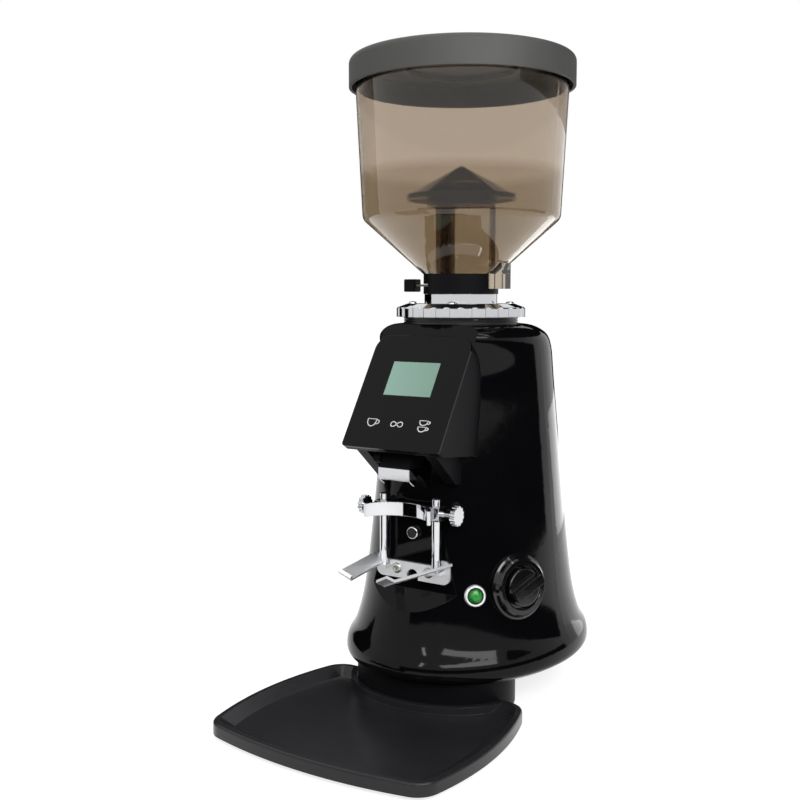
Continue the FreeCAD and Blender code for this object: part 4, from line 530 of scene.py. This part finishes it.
def panel_signs(finish):
    """One cup, continuous running and two cups, printed in a row on the glass."""
    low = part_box("touch_glass")[0]
    up = Vector((0, math.sin(PANEL_TILT), math.cos(PANEL_TILT)))
    out = Vector((0, -math.cos(PANEL_TILT), math.sin(PANEL_TILT)))
    foot = Vector((0, low.y, low.z + GLASS_T * math.sin(PANEL_TILT)))
    place = Matrix((Vector((1, 0, 0)), up, out)).transposed().to_4x4()
    place.translation = foot
    stacked = []
    for lift in (SMALL_CUP_LIFT, -SMALL_CUP_LIFT):
        stacked += cup_lines(Vector((SIGN_SPACING, SIGN_UP + lift)), SMALL_CUP_SIZE, SMALL_CUP_HANDLE)
    signs = {
        "sign_one_cup": cup_lines(Vector((-SIGN_SPACING, SIGN_UP)), CUP_SIZE, CUP_HANDLE),
        "sign_continuous": loop_lines(Vector((0, SIGN_UP)), LOOP_SIZE),
        "sign_two_cups": stacked,
    }
    for name, lines in signs.items():
        mesh = bmesh.new()
        for points, closed in lines:
            stroke(mesh, points, SIGN_STROKE, SIGN_HEIGHT, closed)
        bmesh.ops.transform(mesh, matrix=place @ Matrix.Scale(MM, 4), verts=mesh.verts)
        piece(name, mesh, finish, "stand")


def solids(name):
    """The lowest and highest corners of each separate solid in a CAD node."""
    mesh = bmesh.new()
    mesh.from_mesh(nodes[name].data)
    bmesh.ops.remove_doubles(mesh, verts=mesh.verts, dist=WELD)
    left = set(mesh.verts)
    boxes = []
    for first in mesh.verts:
        if first not in left:
            continue
        left.remove(first)
        group = [first]
        for vert in group:
            near = {edge.other_vert(vert) for edge in vert.link_edges} & left
            left -= near
            group.extend(near)
        corners = [[f(v.co[k] for v in group) for k in range(3)] for f in (min, max)]
        boxes.append([Vector(c) for c in corners])
    mesh.free()
    return boxes


def lathe(mesh, rows, place):
    """Adds a solid of revolution: each row gives a radius, a height and how many flats the ring has."""
    rings = []
    for radius, height, flats in rows:
        ring = []
        for i in range(LATHE_TURNS):
            angle = 2 * math.pi * i / LATHE_TURNS
            reach = radius
            if flats:
                sector = 2 * math.pi / flats
                reach = radius / math.cos(angle % sector - sector / 2)
            corner = Vector((reach * math.cos(angle), reach * math.sin(angle), height))
            ring.append(mesh.verts.new(place @ corner))
        rings.append(ring)
    for here, there in zip(rings, rings[1:]):
        for i in range(LATHE_TURNS):
            k = (i + 1) % LATHE_TURNS
            mesh.faces.new((here[i], here[k], there[k], there[i]))
    mesh.faces.new(rings[0][::-1])
    mesh.faces.new(rings[-1])


def socket_screws(name, axis, finish):
    """Button-head screws with a hexagon socket, in the places of a CAD node's plain ones."""
    mesh = bmesh.new()
    turn = axis.to_track_quat("Z", "Y").to_matrix().to_4x4()
    across = [k for k in range(3) if not axis[k]][0]
    for low, high in solids(name):
        middle = (low + high) / 2
        half = (high - low) / 2
        head_r = half[across]
        reach = sum(abs(axis[k]) * half[k] for k in range(3))
        shank_r = thick = SHANK_SHARE * head_r
        rows = [(shank_r, -reach, 0), (shank_r, reach - thick, 0)]
        rows += [(share * head_r, reach - deep * thick, flats) for share, deep, flats in SCREW_HEAD]
        lathe(mesh, rows, Matrix.Translation(middle) @ turn)
    made = piece(name + "_socket", mesh, finish, nodes[name]["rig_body"])
    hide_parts(name)


def button_pad(finish):
    """Dark dished pad in the face of the start button, where the portafilter presses."""
    low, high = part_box("start_button")
    radius = PAD_SHARE * (high.x - low.x) / 2
    face = Matrix.Translation(((low.x + high.x) / 2, low.y, (low.z + high.z) / 2))
    turn = Vector((0, -1, 0)).to_track_quat("Z", "Y").to_matrix().to_4x4()
    mesh = bmesh.new()
    rows = [(share * radius, rise * PAD_PROUD, 0) for share, rise in PAD_RINGS]
    lathe(mesh, rows, face @ turn)
    piece("button_pad", mesh, finish, "button")


def seen_by_shine(tree):
    """1 for rays from the camera and for rays that metal and glass send on, and 0 for the rest."""
    path = add(tree, "LightPath")
    first = add(tree, "Math", {0: path.outputs["Is Camera Ray"], 1: path.outputs["Is Glossy Ray"]},
                operation="MAXIMUM")
    both = add(tree, "Math", {0: first.outputs[0], 1: path.outputs["Is Transmission Ray"]},
               operation="MAXIMUM")
    return both.outputs[0]


def white_world():
    """White where it is seen, and a softer fill where it lights the object."""
    world = bpy.data.worlds.new("studio")
    bpy.context.scene.world = world
    world.use_nodes = True
    tree = world.node_tree
    seen = seen_by_shine(tree)
    level = add(tree, "MapRange", {"Value": seen, "To Min": WORLD_FILL, "To Max": 1.0})
    feed(tree, tree.nodes["Background"], {"Color": (1.0, 1.0, 1.0, 1.0), "Strength": level.outputs[0]})


def white_floor():
    """Pale floor that melts into the white behind it and keeps a soft shadow."""
    mesh = bpy.data.meshes.new("floor")
    half = FLOOR_HALF
    corners = [(-half, -half, 0), (half, -half, 0), (half, half, 0), (-half, half, 0)]
    mesh.from_pydata(corners, [], [(0, 1, 2, 3)])
    floor = linked("floor", mesh)
    material, tree, shader = blank("white_floor")
    feed(tree, shader, {"Base Color": srgb("#a8a8a8"), "Roughness": 0.9, "Specular IOR Level": 0.0,
                        "Emission Color": (1.0, 1.0, 1.0, 1.0)})
    glow = add(tree, "MapRange", {"Value": seen_by_shine(tree), "To Min": 0.0, "To Max": FLOOR_GLOW})
    feed(tree, shader, {"Emission Strength": glow.outputs[0]})
    mesh.materials.append(material)


def dark_cards():
    """Black cards round the object, seen only in its gloss, with openings that draw bright edges."""
    material, tree, shader = blank("black_card")
    feed(tree, shader, {"Base Color": srgb("#030303"), "Roughness": 1.0, "Specular IOR Level": 0.0})
    for i, (start, end, *edges) in enumerate(CARDS):
        count = max(1, round((end - start) / CARD_STEP))
        verts = []
        for k in range(count + 1):
            angle = math.radians(start + (end - start) * k / count)
            verts += [(far * math.cos(angle), far * math.sin(angle), height) for far, height in edges]
        mesh = bpy.data.meshes.new(f"card_{i}")
        mesh.from_pydata(verts, [], [(2 * k, 2 * k + 2, 2 * k + 3, 2 * k + 1) for k in range(count)])
        mesh.materials.append(material)
        card = linked(f"card_{i}", mesh)
        for ray in ("camera", "diffuse", "transmission", "volume_scatter", "shadow"):
            setattr(card, "visible_" + ray, False)


def softbox(name, place, target, size, power, in_gloss):
    """A rectangular lamp that points at a target. Gloss may mirror it, and the camera never sees it."""
    data = bpy.data.lights.new(name, "AREA")
    data.shape = "RECTANGLE"
    data.size, data.size_y = size
    data.energy = power
    lamp = linked(name, data)
    lamp.location = place
    lamp.rotation_euler = (Vector(target) - Vector(place)).to_track_quat("-Z", "Y").to_euler()
    lamp.visible_glossy = in_gloss
    lamp.visible_camera = False
    lamp.visible_transmission = False


def camera():
    """The camera, at the photograph's viewing angle."""
    data = bpy.data.cameras.new("camera")
    data.lens = LENS_MM
    made = linked("camera", data)
    made.location = CAMERA_PLACE
    made.rotation_euler = [math.radians(a) for a in CAMERA_TURN]
    bpy.context.scene.camera = made


def main():
    """Dresses the object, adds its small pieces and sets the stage."""
    finishes = dress_nodes()
    panel_signs(screen_print())
    socket_screws("ring_screws", Vector((0, 0, 1)), finishes["polished_chrome"])
    socket_screws("fork_screws", Vector((0, -1, 0)), finishes["zinc_plated_steel"])
    button_pad(finishes["moulded_rubber"])
    camera()
    white_world()
    white_floor()
    dark_cards()
    for name, values in LAMPS.items():
        softbox(name, *values)
    bpy.context.scene.view_settings.view_transform = "Standard"


main()
